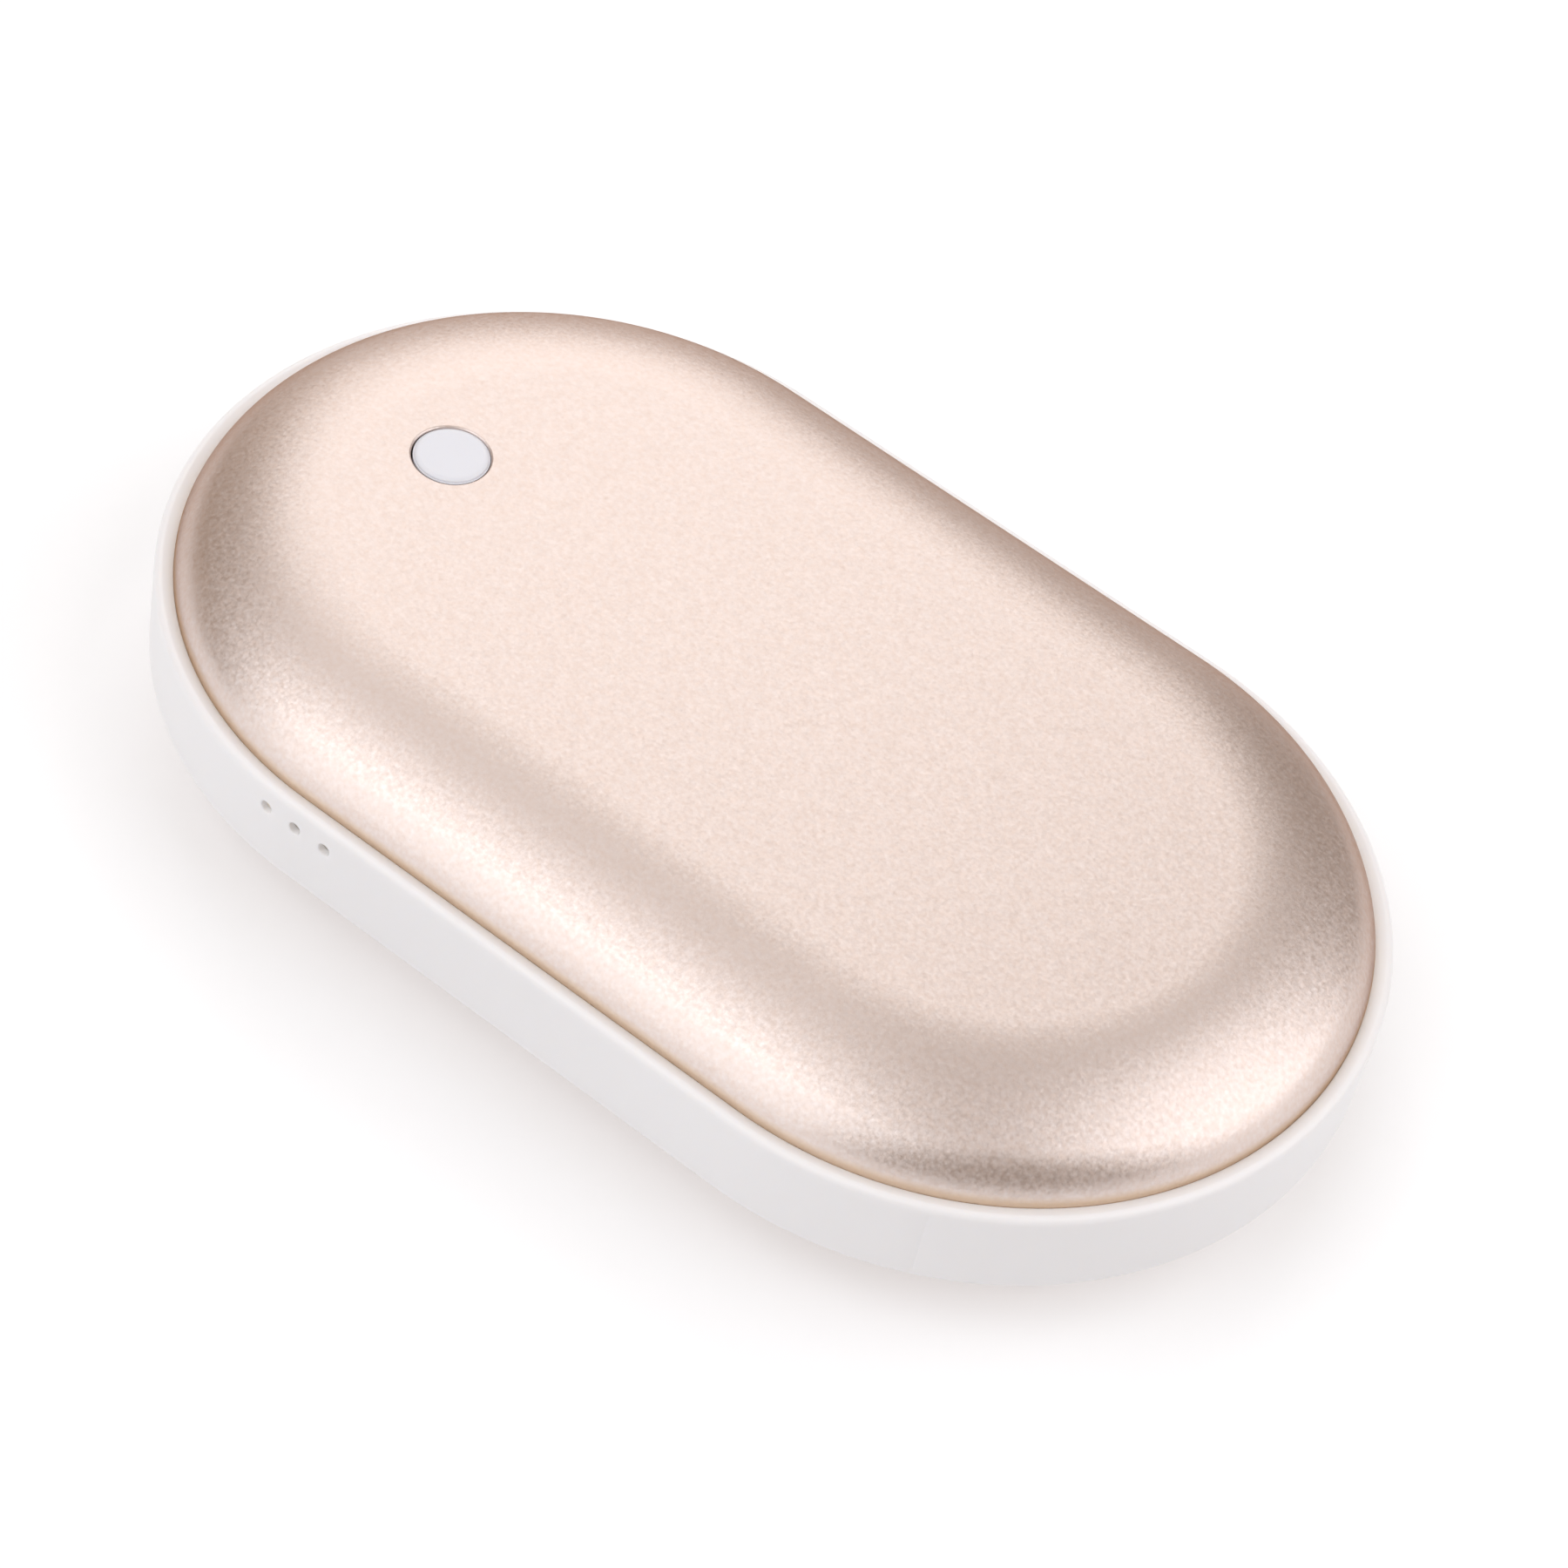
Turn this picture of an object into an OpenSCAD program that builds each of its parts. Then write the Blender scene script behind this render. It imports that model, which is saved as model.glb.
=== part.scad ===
// Rechargeable hand warmer: two domed aluminium shells on a white band, with a push button,
// three side lights, a power output socket and a charging inlet.
// X runs along the length and the ports' end is at -X. Z is up, and Z = 0 is the resting face.

/* [Body] */
// Length over the band, from the ports' end to the far end
overall_l = 105; // [101:0.5:112]
// Width over the band
overall_w = 63.6; // [60:0.2:68]
// Height of the band between the two shells
band_h = 8.2; // [8:0.1:10]
// Rise of each shell above the band
dome_rise = 5.8; // [5.5:0.1:6.6]
// Distance from the band's outer face to the flat middle of each shell
shoulder_w = 13.8; // [12.3:0.1:14.3]
// Radius of the tight roll next to the band
rim_roll_r = 5.4; // [5:0.1:5.8]
// Slope of each shell where it meets the band, in degrees
rim_slope = 75; // [70:1:80]
// Width of the band's lip that shows beside each shell
lip_w = 1.5; // [1.3:0.1:1.9]
// Rounding of the band's outer edges
band_edge_r = 0.8; // [0.3:0.1:1]

/* [Shells and brackets] */
// Thickness of the aluminium shells
shell_t = 0.9; // [0.7:0.05:1]
// Thickness of the bonded layer of heating film and adhesive under each shell
film_t = 0.3; // [0.2:0.05:0.4]
// Wall of the two inner brackets
bracket_t = 1.2; // [1:0.05:1.4]
// Depth to which shells and brackets reach down beside the lip
seat_depth = 0.8; // [0.5:0.05:0.85]
// Width of the ledge that carries each bracket
ledge_w = 0.5; // [0.4:0.05:0.7]

/* [Fits] */
// Clearance around pieces that are set into one another
snug_gap = 0.1; // [0.05:0.01:0.14]
// Clearance around sockets and other pieces that need room to be fitted
loose_gap = 0.15; // [0.1:0.01:0.2]
// Room around the circuit board
free_gap = 0.3; // [0.2:0.05:0.4]

/* [Button] */
// Distance of the button's centre from the end of the flat middle
button_inset = 5.7; // [4.7:0.1:8.2]
// Diameter of the button
button_d = 6; // [5:0.1:6.6]
// Gap around the button in the shell
button_gap = 0.25; // [0.15:0.05:0.35]
// Height of the button above the shell
button_proud = 0.1; // [0:0.05:0.3]
// Rounding of the button's edge
button_edge_r = 0.3; // [0.1:0.05:0.5]
// Diameter of the flange that keeps the button in
button_flange_d = 8; // [7.6:0.1:9]
// Thickness of that flange
button_flange_t = 0.7; // [0.5:0.05:0.9]
// Diameter of the button's stem
button_stem_d = 3; // [2:0.1:3.2]
// Travel of the button
button_travel = 0.3; // [0.2:0.05:0.4]

/* [Indicator lights] */
// Distance of the middle light from the start of the straight side
light_inset = 0.5; // [0.2:0.1:2.2]
// Distance between neighbouring lights
light_pitch = 2.9; // [2.6:0.1:3.2]
// Number of lights
light_count = 3; // [2:1:3]
// Diameter of the holes for the lights
light_hole_d = 1.25; // [1:0.05:1.3]
// Depth of the holes' centres below the band's upper face
light_drop = 2.3; // [2.2:0.05:2.5]
// Distance by which the light guides stay back from the band's face
light_recess = 0.7; // [0.4:0.1:1]

/* [Output socket] */
// Width over the output socket's metal shell
socket_w = 13.1; // [12.8:0.1:13.3]
// Height over the output socket's metal shell
socket_h = 5.7; // [5.4:0.05:5.8]
// Length of the output socket
socket_l = 13.2; // [12.6:0.1:13.4]
// Sheet thickness of the output socket
socket_t = 0.3; // [0.25:0.05:0.4]
// Distance of the output socket from the middle line
socket_offset = 9.8; // [9.7:0.1:10.4]

/* [Charging inlet] */
// Width over the charging inlet's metal shell
inlet_w = 7.5; // [7.2:0.1:7.8]
// Height over the charging inlet's metal shell
inlet_h = 2.7; // [2.5:0.05:2.9]
// Length of the charging inlet
inlet_l = 5; // [4.6:0.1:5.6]
// Sheet thickness of the charging inlet
inlet_t = 0.25; // [0.2:0.05:0.3]
// Distance of the charging inlet from the middle line
inlet_offset = 6; // [5.6:0.1:6.4]

/* [Battery] */
// Width by which the battery cell reaches past the flat middle on each side
cell_over = 2; // [0.5:0.1:2.2]
// Thickness of the battery cell
cell_h = 10; // [8.5:0.1:10.4]
// Rounding of the battery cell's corners, seen from above
cell_corner_r = 3; // [2:0.1:4]
// Room between the battery cell's corners and the brackets
cell_room = 1.5; // [1.3:0.1:2.5]
// Width by which the foam pads stay back from each side of the battery cell
pad_side = 6; // [4:0.5:10]
// Length by which the foam pads stay back from each end of the battery cell
pad_end = 4; // [2:0.5:8]

/* [Circuit board] */
// Thickness of the circuit board
board_t = 1; // [0.8:0.05:1.2]
// Gap between the circuit board and the battery's protection board
board_to_cell = 0.8; // [0.6:0.1:1.5]

/* [Screws] */
// Diameter of the case screws
case_screw_d = 2; // [1.7:0.1:2.2]
// Length of the case screws under the head
case_screw_l = 8; // [7:0.5:8.5]
// Diameter of the case screws' heads
case_head_d = 3.6; // [3.2:0.1:3.8]
// Height of the case screws' heads
case_head_h = 1.3; // [1:0.1:1.4]
// Diameter of the pillars for the case screws
case_pillar_d = 4.8; // [4.6:0.1:5]
// Distance of the case screws from the band's outer face
case_screw_in = 7.8; // [7.6:0.1:8]
// Diameter of the board screws
board_screw_d = 1.7; // [1.4:0.1:2]
// Length of the board screws under the head
board_screw_l = 5; // [4:0.5:5.5]
// Diameter of the board screws' heads
board_head_d = 3.2; // [2.8:0.1:3.4]
// Height of the board screws' heads
board_head_h = 1; // [0.8:0.1:1.2]
// Diameter of the pillars for the board screws
board_pillar_d = 4.4; // [3.8:0.1:4.6]

/* [Hidden] */
$fn = 64;

// How far a cut runs past the face it starts from
overrun = 1;

// Straight steps that stand for each arc of the shells' outline
arc_steps = 8;

// Heights of the stack
thickness = band_h + 2 * dome_rise;
mid_z = thickness / 2;
rim_z = thickness - dome_rise;
seat_z = rim_z - seat_depth;

// Plan of the body
band_r = overall_w / 2;
half_run = (overall_l - overall_w) / 2;
rim_r = band_r - lip_w;
flat_r = band_r - shoulder_w;

// The shell's outline is a flat, a wide shoulder arc and a tight roll that meet without a corner
slope_run = rim_r - flat_r - rim_roll_r * sin(rim_slope);
slope_drop = dome_rise - rim_roll_r * (1 - cos(rim_slope));
shoulder_sweep = 2 * atan(slope_drop / slope_run);
shoulder_r = rim_roll_r + slope_run / sin(shoulder_sweep);
shoulder_centre = [flat_r, thickness - shoulder_r];
roll_centre = shoulder_centre + (shoulder_r - rim_roll_r) * [sin(shoulder_sweep), cos(shoulder_sweep)];

// Insets of the layers from the shell's outer face
shell_inset = shell_t;
liner_inset = shell_t + film_t;
room_inset = liner_inset + bracket_t;
liner_z = thickness - liner_inset;
ceiling_z = thickness - room_inset;
frame_in_r = wall_r(liner_inset) - ledge_w;

// Indicator lights and board
light_z = rim_z - light_drop;
light_x = light_inset - half_run;
led_l = 1.6;
led_w = 0.8;
led_h = 1.2;
guide_bar_w = 0.9;
guide_end = 1;
board_margin = 0.7;
board_top = light_z - led_h / 2;
board_bottom = board_top - board_t;
board_r = frame_in_r - free_gap;
board_edge_x = light_x + (light_count - 1) / 2 * light_pitch + guide_end + board_margin;

// Button and key switch
button_x = button_inset - half_run - flat_r;
button_hole_d = button_d + 2 * button_gap;
switch_l = 6;
switch_h = 3.4;
switch_cover_t = 0.2;
plunger_d = 3.4;
plunger_stand = 1.2;
plunger_reach = 1;
plunger_top = board_top + switch_h + switch_cover_t + plunger_stand;

// Battery
cell_board_t = 0.8;
cell_board_h = 5;
cell_board_back = 6;
cell_start_x = board_edge_x + board_to_cell + cell_board_t;
cell_reach_r = wall_r(room_inset) - cell_room;
cell_w = 2 * (flat_r + cell_over);
cell_board_w = cell_w - 2 * cell_board_back;
pad_w = cell_w - 2 * pad_side;
cell_end_x = half_run + sqrt(pow(cell_reach_r, 2) - pow(cell_w / 2, 2));
cell_l = cell_end_x - cell_start_x;
cell_mid_x = (cell_end_x + cell_start_x) / 2;

// Heating films and the adhesive sheets around them
heater_margin = 3;
heater_r = flat_r - heater_margin;
sheet_gap = 0.5;
heater_start_x = button_x + button_hole_d / 2 + 3 * sheet_gap + heater_r;
sheet_r = flat_r - sheet_gap;
sensor_d = 2;
sensor_h = 1.6;
sensor_x = 12;

// Output socket
socket_setback = 0.4;
socket_tongue_t = 1.8;
socket_tongue_side = 1;
socket_tongue_drop = 0.8;
socket_block_l = 3.5;
socket_mouth = 1.2;
socket_corner_r = 0.6;
contact_w = 1;
contact_t = 0.15;
contact_l = 6.5;
contact_pitch = 2.2;
contact_count = 4;
socket_front_x = -half_run - edge_run(band_r, socket_offset + socket_w / 2) + socket_setback;

// Charging inlet
inlet_setback = 0.4;
inlet_chamfer = 0.8;
inlet_corner_r = 0.5;
inlet_tongue_side = 1.75;
inlet_tongue_t = 0.6;
inlet_tongue_gap = 0.8;
inlet_block_l = 1;
inlet_mid_z = board_bottom - inlet_h / 2;
inlet_front_x = -half_run - edge_run(band_r, inlet_offset + inlet_w / 2) + inlet_setback;

// Screws
screw_slack = 0.05;
head_slack = 0.2;
driver_d_share = 0.5;
driver_h_share = 0.5;
case_screw_offset = band_r - case_screw_in;
case_pillar_r = case_screw_offset + case_pillar_d / 2;
case_head_z = liner_inset + dome_drop(case_pillar_r, liner_inset) + snug_gap + case_head_h;
case_tip_room = 0.4;
case_screw_inset = 6.6;
case_screw_x = [cell_start_x + case_screw_inset, half_run + case_screw_inset / 2];
board_screw_back = 6.4;
board_screw_x = board_edge_x - board_screw_back;
board_screw_in = 11.8;
board_screw_y = band_r - board_screw_in;

// Parts on the board, measured from the middle of the board's inner edge
coil_l = 6;
coil_h = 3;
coil_place = [-10, -9.5, 0];
boost_chip_size = [4, 5, 1.4];
boost_chip_place = [-7.4, -2.5, 0];
charge_chip_size = [4, 4, 1.4];
charge_chip_place = [-8.6, 8.6, 0];
capacitor_size = [2, 1.25, 1.1];
capacitor_count = 4;
capacitor_pitch = 2;
capacitor_place = [-4.5, -7, 0];

// Leads
lead_d = 0.9;
lead_sides = 8;
lead_steps = 8;
lead_gap = 2.2;
lead_slot_w = 1.6;
lead_slot_l = 4.6;
lead_start_back = 5;
lead_end_back = 2.4;
lead_start_y = 5.5;
lead_end_y = 6.6;
top_lead_start = [board_edge_x - lead_start_back, lead_start_y];
top_lead_end = [board_edge_x - lead_end_back, lead_end_y];
bottom_lead_start = [board_edge_x - lead_start_back, -lead_start_y];
bottom_lead_end = [board_edge_x - lead_end_back, -lead_end_y];
battery_lead_y = 4;
battery_lead_reach = 1.6;
battery_lead_rise = 1.4;

// Radius of the upright wall of a layer that lies this far inside the shell's outer face
function wall_r(inset) = rim_r - inset * sin(rim_slope);

// Depth below the flat, at radius r, of the shoulder of a layer with this inset
function dome_drop(r, inset) =
  shoulder_r - inset - sqrt(pow(shoulder_r - inset, 2) - pow(max(r - flat_r, 0), 2));

// Points of an arc between two angles from the upright
function arc_points(centre, r, from, to) = [
  for (i = [0:arc_steps])
    let (turn = from + (to - from) * i / arc_steps)
    centre + r * [sin(turn), cos(turn)]
];

// Outer curve of a layer, from its foot up the wall, over the roll and the shoulder to the middle
function dome_curve(inset, foot_z) = concat(
  [[wall_r(inset), foot_z]],
  arc_points(roll_centre, rim_roll_r - inset, rim_slope, shoulder_sweep),
  arc_points(shoulder_centre, shoulder_r - inset, shoulder_sweep * (1 - 1 / arc_steps), 0),
  [[0, thickness - inset]]
);

// Distance along X from the arc's centre to a circle of radius r, at distance y from the middle line
function edge_run(r, y) = sqrt(r * r - y * y);

// Points of a lead that leaves a and reaches b upright, and shifts sideways between them
function s_route(a, b) = [
  for (i = [0:lead_steps])
    let (t = i / lead_steps, s = (1 - cos(180 * t)) / 2)
    [a.x + (b.x - a.x) * s, a.y + (b.y - a.y) * s, a.z + (b.z - a.z) * t]
];

// Points of a lead that leaves an upright face towards -X and comes down on the board
function arch_route(a, reach, rise) = [
  for (i = [0:lead_steps])
    let (turn = 90 * i / lead_steps)
    [a.x - reach * sin(turn), a.y, a.z - rise * (1 - cos(turn))]
];

// Direction of a route at one of its points
function heading(route, i) =
  let (d = route[min(i + 1, len(route) - 1)] - route[max(i - 1, 0)])
  d / norm(d);

// Round tube along a route
module lead(route, along) {
  n = len(route);
  rings = [
    for (i = [0:n - 1])
      let (
        t = i == 0 || i == n - 1 ? along[i == 0 ? 0 : 1] : heading(route, i),
        v = cross(t, [0, 1, 0]) / norm(cross(t, [0, 1, 0])),
        u = cross(v, t)
      )
      for (k = [0:lead_sides - 1])
        route[i] + lead_d / 2 * (cos(360 * k / lead_sides) * u + sin(360 * k / lead_sides) * v)
  ];
  sides = [
    for (i = [0:n - 2], k = [0:lead_sides - 1])
      let (
        a = i * lead_sides + k,
        b = i * lead_sides + (k + 1) % lead_sides,
        c = a + lead_sides,
        d = b + lead_sides
      )
      each [[a, c, d], [a, d, b]]
  ];
  first = [for (k = [0:lead_sides - 1]) k];
  last = [for (k = [lead_sides - 1:-1:0]) (n - 1) * lead_sides + k];
  polyhedron(rings, concat(sides, [first], [last]));
}

// Rectangle with round corners, centred
module rounded_rect(l, w, r) {
  square([l - 2 * r, w], center = true);
  square([l, w - 2 * r], center = true);
  for (x = [-1, 1], y = [-1, 1])
    translate([x * (l / 2 - r), y * (w / 2 - r)])
      circle(r);
}

// Box with round upright edges, standing on its base
module rounded_box(l, w, h, r) {
  linear_extrude(h)
    rounded_rect(l, w, r);
}

// Bar with a round-cornered cross-section that runs along +X from the origin
module rounded_bar(l, w, h, r) {
  rotate([90, 0, 90])
    linear_extrude(l)
      rounded_rect(w, h, r);
}

// Stadium outline of radius r from arc centre x0 to arc centre x1
module stadium(r, x0, x1) {
  translate([x0, -r])
    square([x1 - x0, 2 * r]);
  translate([x0, 0])
    circle(r);
  translate([x1, 0])
    circle(r);
}

// Sweeps an outline of radius against height round the whole stadium
module sweep_round() {
  translate([-half_run, 0, 0])
    rotate([90, 0, 90])
      linear_extrude(2 * half_run) {
        children();
        mirror([1, 0])
          children();
      }
  for (turn = [0, 180])
    rotate([0, 0, turn])
      translate([half_run, 0, 0])
        rotate([0, 0, -90])
          rotate_extrude(angle = 180)
            children();
}

// Turns a piece of the upper half over into the lower half
module turned_over() {
  translate([0, 0, thickness])
    mirror([0, 0, 1])
      children();
}

// Half outline under a layer with this inset, down to the height foot_z
module dome_outline(inset, foot_z) {
  polygon(concat([[0, foot_z]], dome_curve(inset, foot_z)));
}

// Outline of a domed layer between two insets
module layer_outline(outer_inset, inner_inset) {
  inner = dome_curve(inner_inset, seat_z);
  polygon(concat(dome_curve(outer_inset, seat_z), [for (i = [len(inner) - 1:-1:0]) inner[i]]));
}

// Round hole for the button, through the whole upper half
module button_bore(d) {
  translate([button_x, 0, mid_z])
    cylinder(d = d, h = thickness);
}

module shell_blank() {
  sweep_round()
    layer_outline(0, shell_inset);
}

module top_shell() {
  color([0.93, 0.84, 0.79])
    difference() {
      shell_blank();
      button_bore(button_hole_d);
    }
}

module bottom_shell() {
  color([0.93, 0.84, 0.79])
    turned_over()
      shell_blank();
}

// Half outline of the band with round outer edges and a ledge for each shell
module frame_outline() {
  ledge_out_r = rim_r + snug_gap;
  difference() {
    union() {
      translate([frame_in_r, dome_rise])
        square([band_r - band_edge_r - frame_in_r, band_h]);
      translate([frame_in_r, dome_rise + band_edge_r])
        square([band_r - frame_in_r, band_h - 2 * band_edge_r]);
      for (z = [dome_rise + band_edge_r, rim_z - band_edge_r])
        translate([band_r - band_edge_r, z])
          circle(band_edge_r);
    }
    translate([0, seat_z])
      square([ledge_out_r, seat_depth + overrun]);
    translate([0, dome_rise - overrun])
      square([ledge_out_r, seat_depth + overrun]);
  }
}

// Places children at each light, measured from the middle of the row
module at_lights() {
  for (i = [0:light_count - 1])
    translate([light_x + (i - (light_count - 1) / 2) * light_pitch, 0, light_z])
      children();
}

module mid_frame() {
  color([0.94, 0.93, 0.94])
    difference() {
      sweep_round()
        frame_outline();
      at_lights()
        rotate([90, 0, 0])
          cylinder(d = light_hole_d, h = overall_w);
      translate([-overall_l, socket_offset, mid_z])
        rounded_bar(
          overall_l + socket_front_x + socket_l,
          socket_w + 2 * loose_gap,
          socket_h + 2 * loose_gap,
          socket_corner_r
        );
      translate([-overall_l, -inlet_offset, inlet_mid_z])
        rounded_bar(
          overall_l + inlet_front_x + inlet_l,
          inlet_w + 2 * free_gap,
          inlet_h + 2 * free_gap,
          inlet_corner_r
        );
    }
}

// Places children at the case screws
module at_case_screws() {
  for (x = case_screw_x, y = [-1, 1])
    translate([x, y * case_screw_offset, 0])
      children();
}

// Places children at the board screws
module at_board_screws() {
  for (y = [-1, 1])
    translate([board_screw_x, y * board_screw_y, 0])
      children();
}

// Slot through a bracket's flat for a pair of heater leads
module lead_slot(start) {
  translate([start.x, start.y, ceiling_z - overrun])
    rounded_box(lead_slot_w, lead_slot_l, bracket_t + 2 * overrun, lead_slot_w / 4);
}

// Bracket for the upper half: a domed liner with a short skirt, and pillars given as children
module bracket_blank(foot_z) {
  below = foot_z - overrun;
  skirt_cut_r = wall_r(room_inset) - snug_gap;
  difference() {
    sweep_round()
      dome_outline(liner_inset, below);
    difference() {
      sweep_round()
        dome_outline(room_inset, below - overrun);
      children();
    }
    sweep_round()
      translate([skirt_cut_r, below - overrun])
        square([band_r - skirt_cut_r, seat_z - below + overrun]);
  }
}

// Pillars for the case screws, from the middle of the body upwards
module case_pillars() {
  at_case_screws()
    translate([0, 0, mid_z])
      cylinder(d = case_pillar_d, h = thickness);
}

module top_bracket() {
  pilot_top = case_head_z + case_screw_l + case_tip_room;
  color([0.86, 0.86, 0.87])
    difference() {
      bracket_blank(mid_z)
        case_pillars();
      at_case_screws()
        translate([0, 0, mid_z - overrun])
          cylinder(d = case_screw_d + 2 * screw_slack, h = pilot_top - mid_z + overrun);
      button_bore(button_d + 2 * loose_gap);
      lead_slot(top_lead_start);
      translate([sensor_x, 0, ceiling_z - overrun])
        cylinder(d = sensor_d + 2 * loose_gap, h = bracket_t + 2 * overrun);
    }
}

module bottom_bracket() {
  pilot_foot = board_top - board_screw_l - case_tip_room;
  board_pillar_foot = thickness - board_bottom;
  color([0.86, 0.86, 0.87])
    difference() {
      turned_over()
        bracket_blank(min(mid_z, board_pillar_foot)) {
          case_pillars();
          at_board_screws()
            translate([0, 0, board_pillar_foot])
              cylinder(d = board_pillar_d, h = thickness);
        }
      at_case_screws() {
        cylinder(d = case_head_d + 2 * head_slack, h = case_head_z);
        cylinder(d = case_screw_d + 2 * screw_slack, h = thickness);
      }
      at_board_screws()
        translate([0, 0, pilot_foot])
          cylinder(d = board_screw_d + 2 * screw_slack, h = thickness);
      turned_over()
        lead_slot(bottom_lead_start);
    }
}

// Outline of a heating film
module heater_outline() {
  stadium(heater_r, heater_start_x, half_run);
}

// Outline of the sheet that bonds a bracket's flat to its shell round the heating film
module sheet_outline() {
  difference() {
    stadium(sheet_r, -half_run, half_run);
    stadium(heater_r + sheet_gap, heater_start_x, half_run);
  }
}

module top_heater() {
  color([0.72, 0.45, 0.2])
    translate([0, 0, liner_z])
      linear_extrude(film_t)
        heater_outline();
}

module bottom_heater() {
  color([0.72, 0.45, 0.2])
    translate([0, 0, shell_t])
      linear_extrude(film_t)
        heater_outline();
}

module top_adhesive() {
  color([0.9, 0.88, 0.8])
    translate([0, 0, liner_z])
      linear_extrude(film_t)
        difference() {
          sheet_outline();
          translate([button_x, 0])
            circle(d = button_hole_d + 2 * sheet_gap);
        }
}

module bottom_adhesive() {
  color([0.9, 0.88, 0.8])
    translate([0, 0, shell_t])
      linear_extrude(film_t)
        sheet_outline();
}

module heat_sensor() {
  color([0.15, 0.15, 0.16])
    translate([sensor_x, 0, liner_z - sensor_h])
      cylinder(d = sensor_d, h = sensor_h);
}

module battery_cell() {
  color([0.78, 0.79, 0.8])
    translate([cell_mid_x, 0, mid_z - cell_h / 2])
      rounded_box(cell_l, cell_w, cell_h, cell_corner_r);
}

module battery_board() {
  color([0.1, 0.35, 0.2])
    translate([cell_start_x - cell_board_t, 0, mid_z])
      rounded_bar(cell_board_t, cell_board_w, cell_board_h, cell_board_t / 2);
}

// Foam pad between a bracket and the battery cell
module foam_pad() {
  pad_foot = mid_z + cell_h / 2;
  translate([cell_mid_x, 0, pad_foot])
    rounded_box(cell_l - 2 * pad_end, pad_w, ceiling_z - pad_foot, cell_corner_r);
}

module top_foam_pad() {
  color([0.25, 0.25, 0.27])
    difference() {
      foam_pad();
      translate([sensor_x, 0, ceiling_z - sensor_h])
        cylinder(d = sensor_d + 2 * free_gap, h = thickness);
    }
}

module bottom_foam_pad() {
  color([0.25, 0.25, 0.27])
    turned_over()
      foam_pad();
}

module circuit_board() {
  color([0.1, 0.4, 0.25])
    translate([0, 0, board_bottom])
      linear_extrude(board_t)
        difference() {
          intersection() {
            stadium(board_r, -half_run, half_run);
            translate([-overall_l, -overall_w])
              square([overall_l + board_edge_x, 2 * overall_w]);
          }
          translate([-overall_l, socket_offset - socket_w / 2 - snug_gap])
            square([overall_l + socket_front_x + socket_l + snug_gap, socket_w + 2 * snug_gap]);
          for (y = [-1, 1])
            translate([board_screw_x, y * board_screw_y])
              circle(d = board_screw_d + 4 * screw_slack);
        }
}

module indicator_lights() {
  color([0.95, 0.9, 0.6])
    at_lights()
      translate([-led_l / 2, guide_bar_w - board_r, -led_h / 2])
        cube([led_l, led_w, led_h]);
}

module light_guide() {
  bar_l = (light_count - 1) * light_pitch + 2 * guide_end;
  pin_l = band_r - light_recess - board_r;
  color([0.72, 0.72, 0.74])
    union() {
      translate([light_x - bar_l / 2, -board_r, light_z - led_h / 2])
        cube([bar_l, guide_bar_w, led_h]);
      at_lights()
        translate([0, -board_r, 0])
          rotate([90, 0, 0])
            cylinder(d = light_hole_d - snug_gap, h = pin_l);
    }
}

// Outline of the button: a disc with a round edge, a flange and a stem
module button_outline() {
  top_z = thickness + button_proud;
  flange_z = ceiling_z - snug_gap;
  square_foot = flange_z - button_flange_t;
  translate([0, flange_z - button_flange_t / 2])
    square([button_d / 2, top_z - button_edge_r - flange_z + button_flange_t / 2]);
  translate([0, flange_z - button_flange_t / 2])
    square([button_d / 2 - button_edge_r, top_z - flange_z + button_flange_t / 2]);
  translate([button_d / 2 - button_edge_r, top_z - button_edge_r])
    circle(button_edge_r);
  translate([0, square_foot])
    square([button_flange_d / 2, button_flange_t]);
  translate([0, plunger_top])
    square([button_stem_d / 2, flange_z - plunger_top]);
}

module button_cap() {
  color([0.95, 0.94, 0.96])
    translate([button_x, 0, 0])
      rotate_extrude()
        button_outline();
}

module switch_body() {
  pocket_h = plunger_reach + button_travel + snug_gap;
  color([0.12, 0.12, 0.13])
    difference() {
      translate([button_x - switch_l / 2, -switch_l / 2, board_top])
        cube([switch_l, switch_l, switch_h]);
      translate([button_x, 0, board_top + switch_h - pocket_h])
        cylinder(d = plunger_d + 2 * snug_gap, h = pocket_h + overrun);
    }
}

module switch_cover() {
  color([0.75, 0.76, 0.78])
    translate([button_x, 0, board_top + switch_h])
      linear_extrude(switch_cover_t)
        difference() {
          square(switch_l, center = true);
          circle(d = plunger_d + 2 * snug_gap);
        }
}

module switch_plunger() {
  plunger_l = plunger_stand + switch_cover_t + plunger_reach;
  color([0.9, 0.9, 0.88])
    translate([button_x, 0, plunger_top - plunger_l])
      cylinder(d = plunger_d, h = plunger_l);
}

// Moves children to the middle of the output socket's mouth
module at_socket() {
  translate([socket_front_x, socket_offset, mid_z])
    children();
}

module usb_a_shell() {
  tab_l = 2;
  tab_w = 1.2;
  color([0.78, 0.79, 0.8]) {
    at_socket()
      difference() {
        rounded_bar(socket_l, socket_w, socket_h, socket_corner_r);
        translate([-overrun, 0, 0])
          rounded_bar(
            socket_l - socket_t + overrun,
            socket_w - 2 * socket_t,
            socket_h - 2 * socket_t,
            socket_corner_r - socket_t
          );
      }
    for (side = [-1, 1])
      translate([
        socket_front_x + socket_l - 2 * tab_l,
        socket_offset + side * (socket_w + tab_w) / 2 - tab_w / 2,
        board_top
      ])
        cube([tab_l, tab_w, socket_t]);
  }
}

// Middle height of the socket's tongue, measured from the socket's middle
function tongue_z() = socket_h / 2 - socket_t - socket_tongue_drop - socket_tongue_t / 2;

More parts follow.
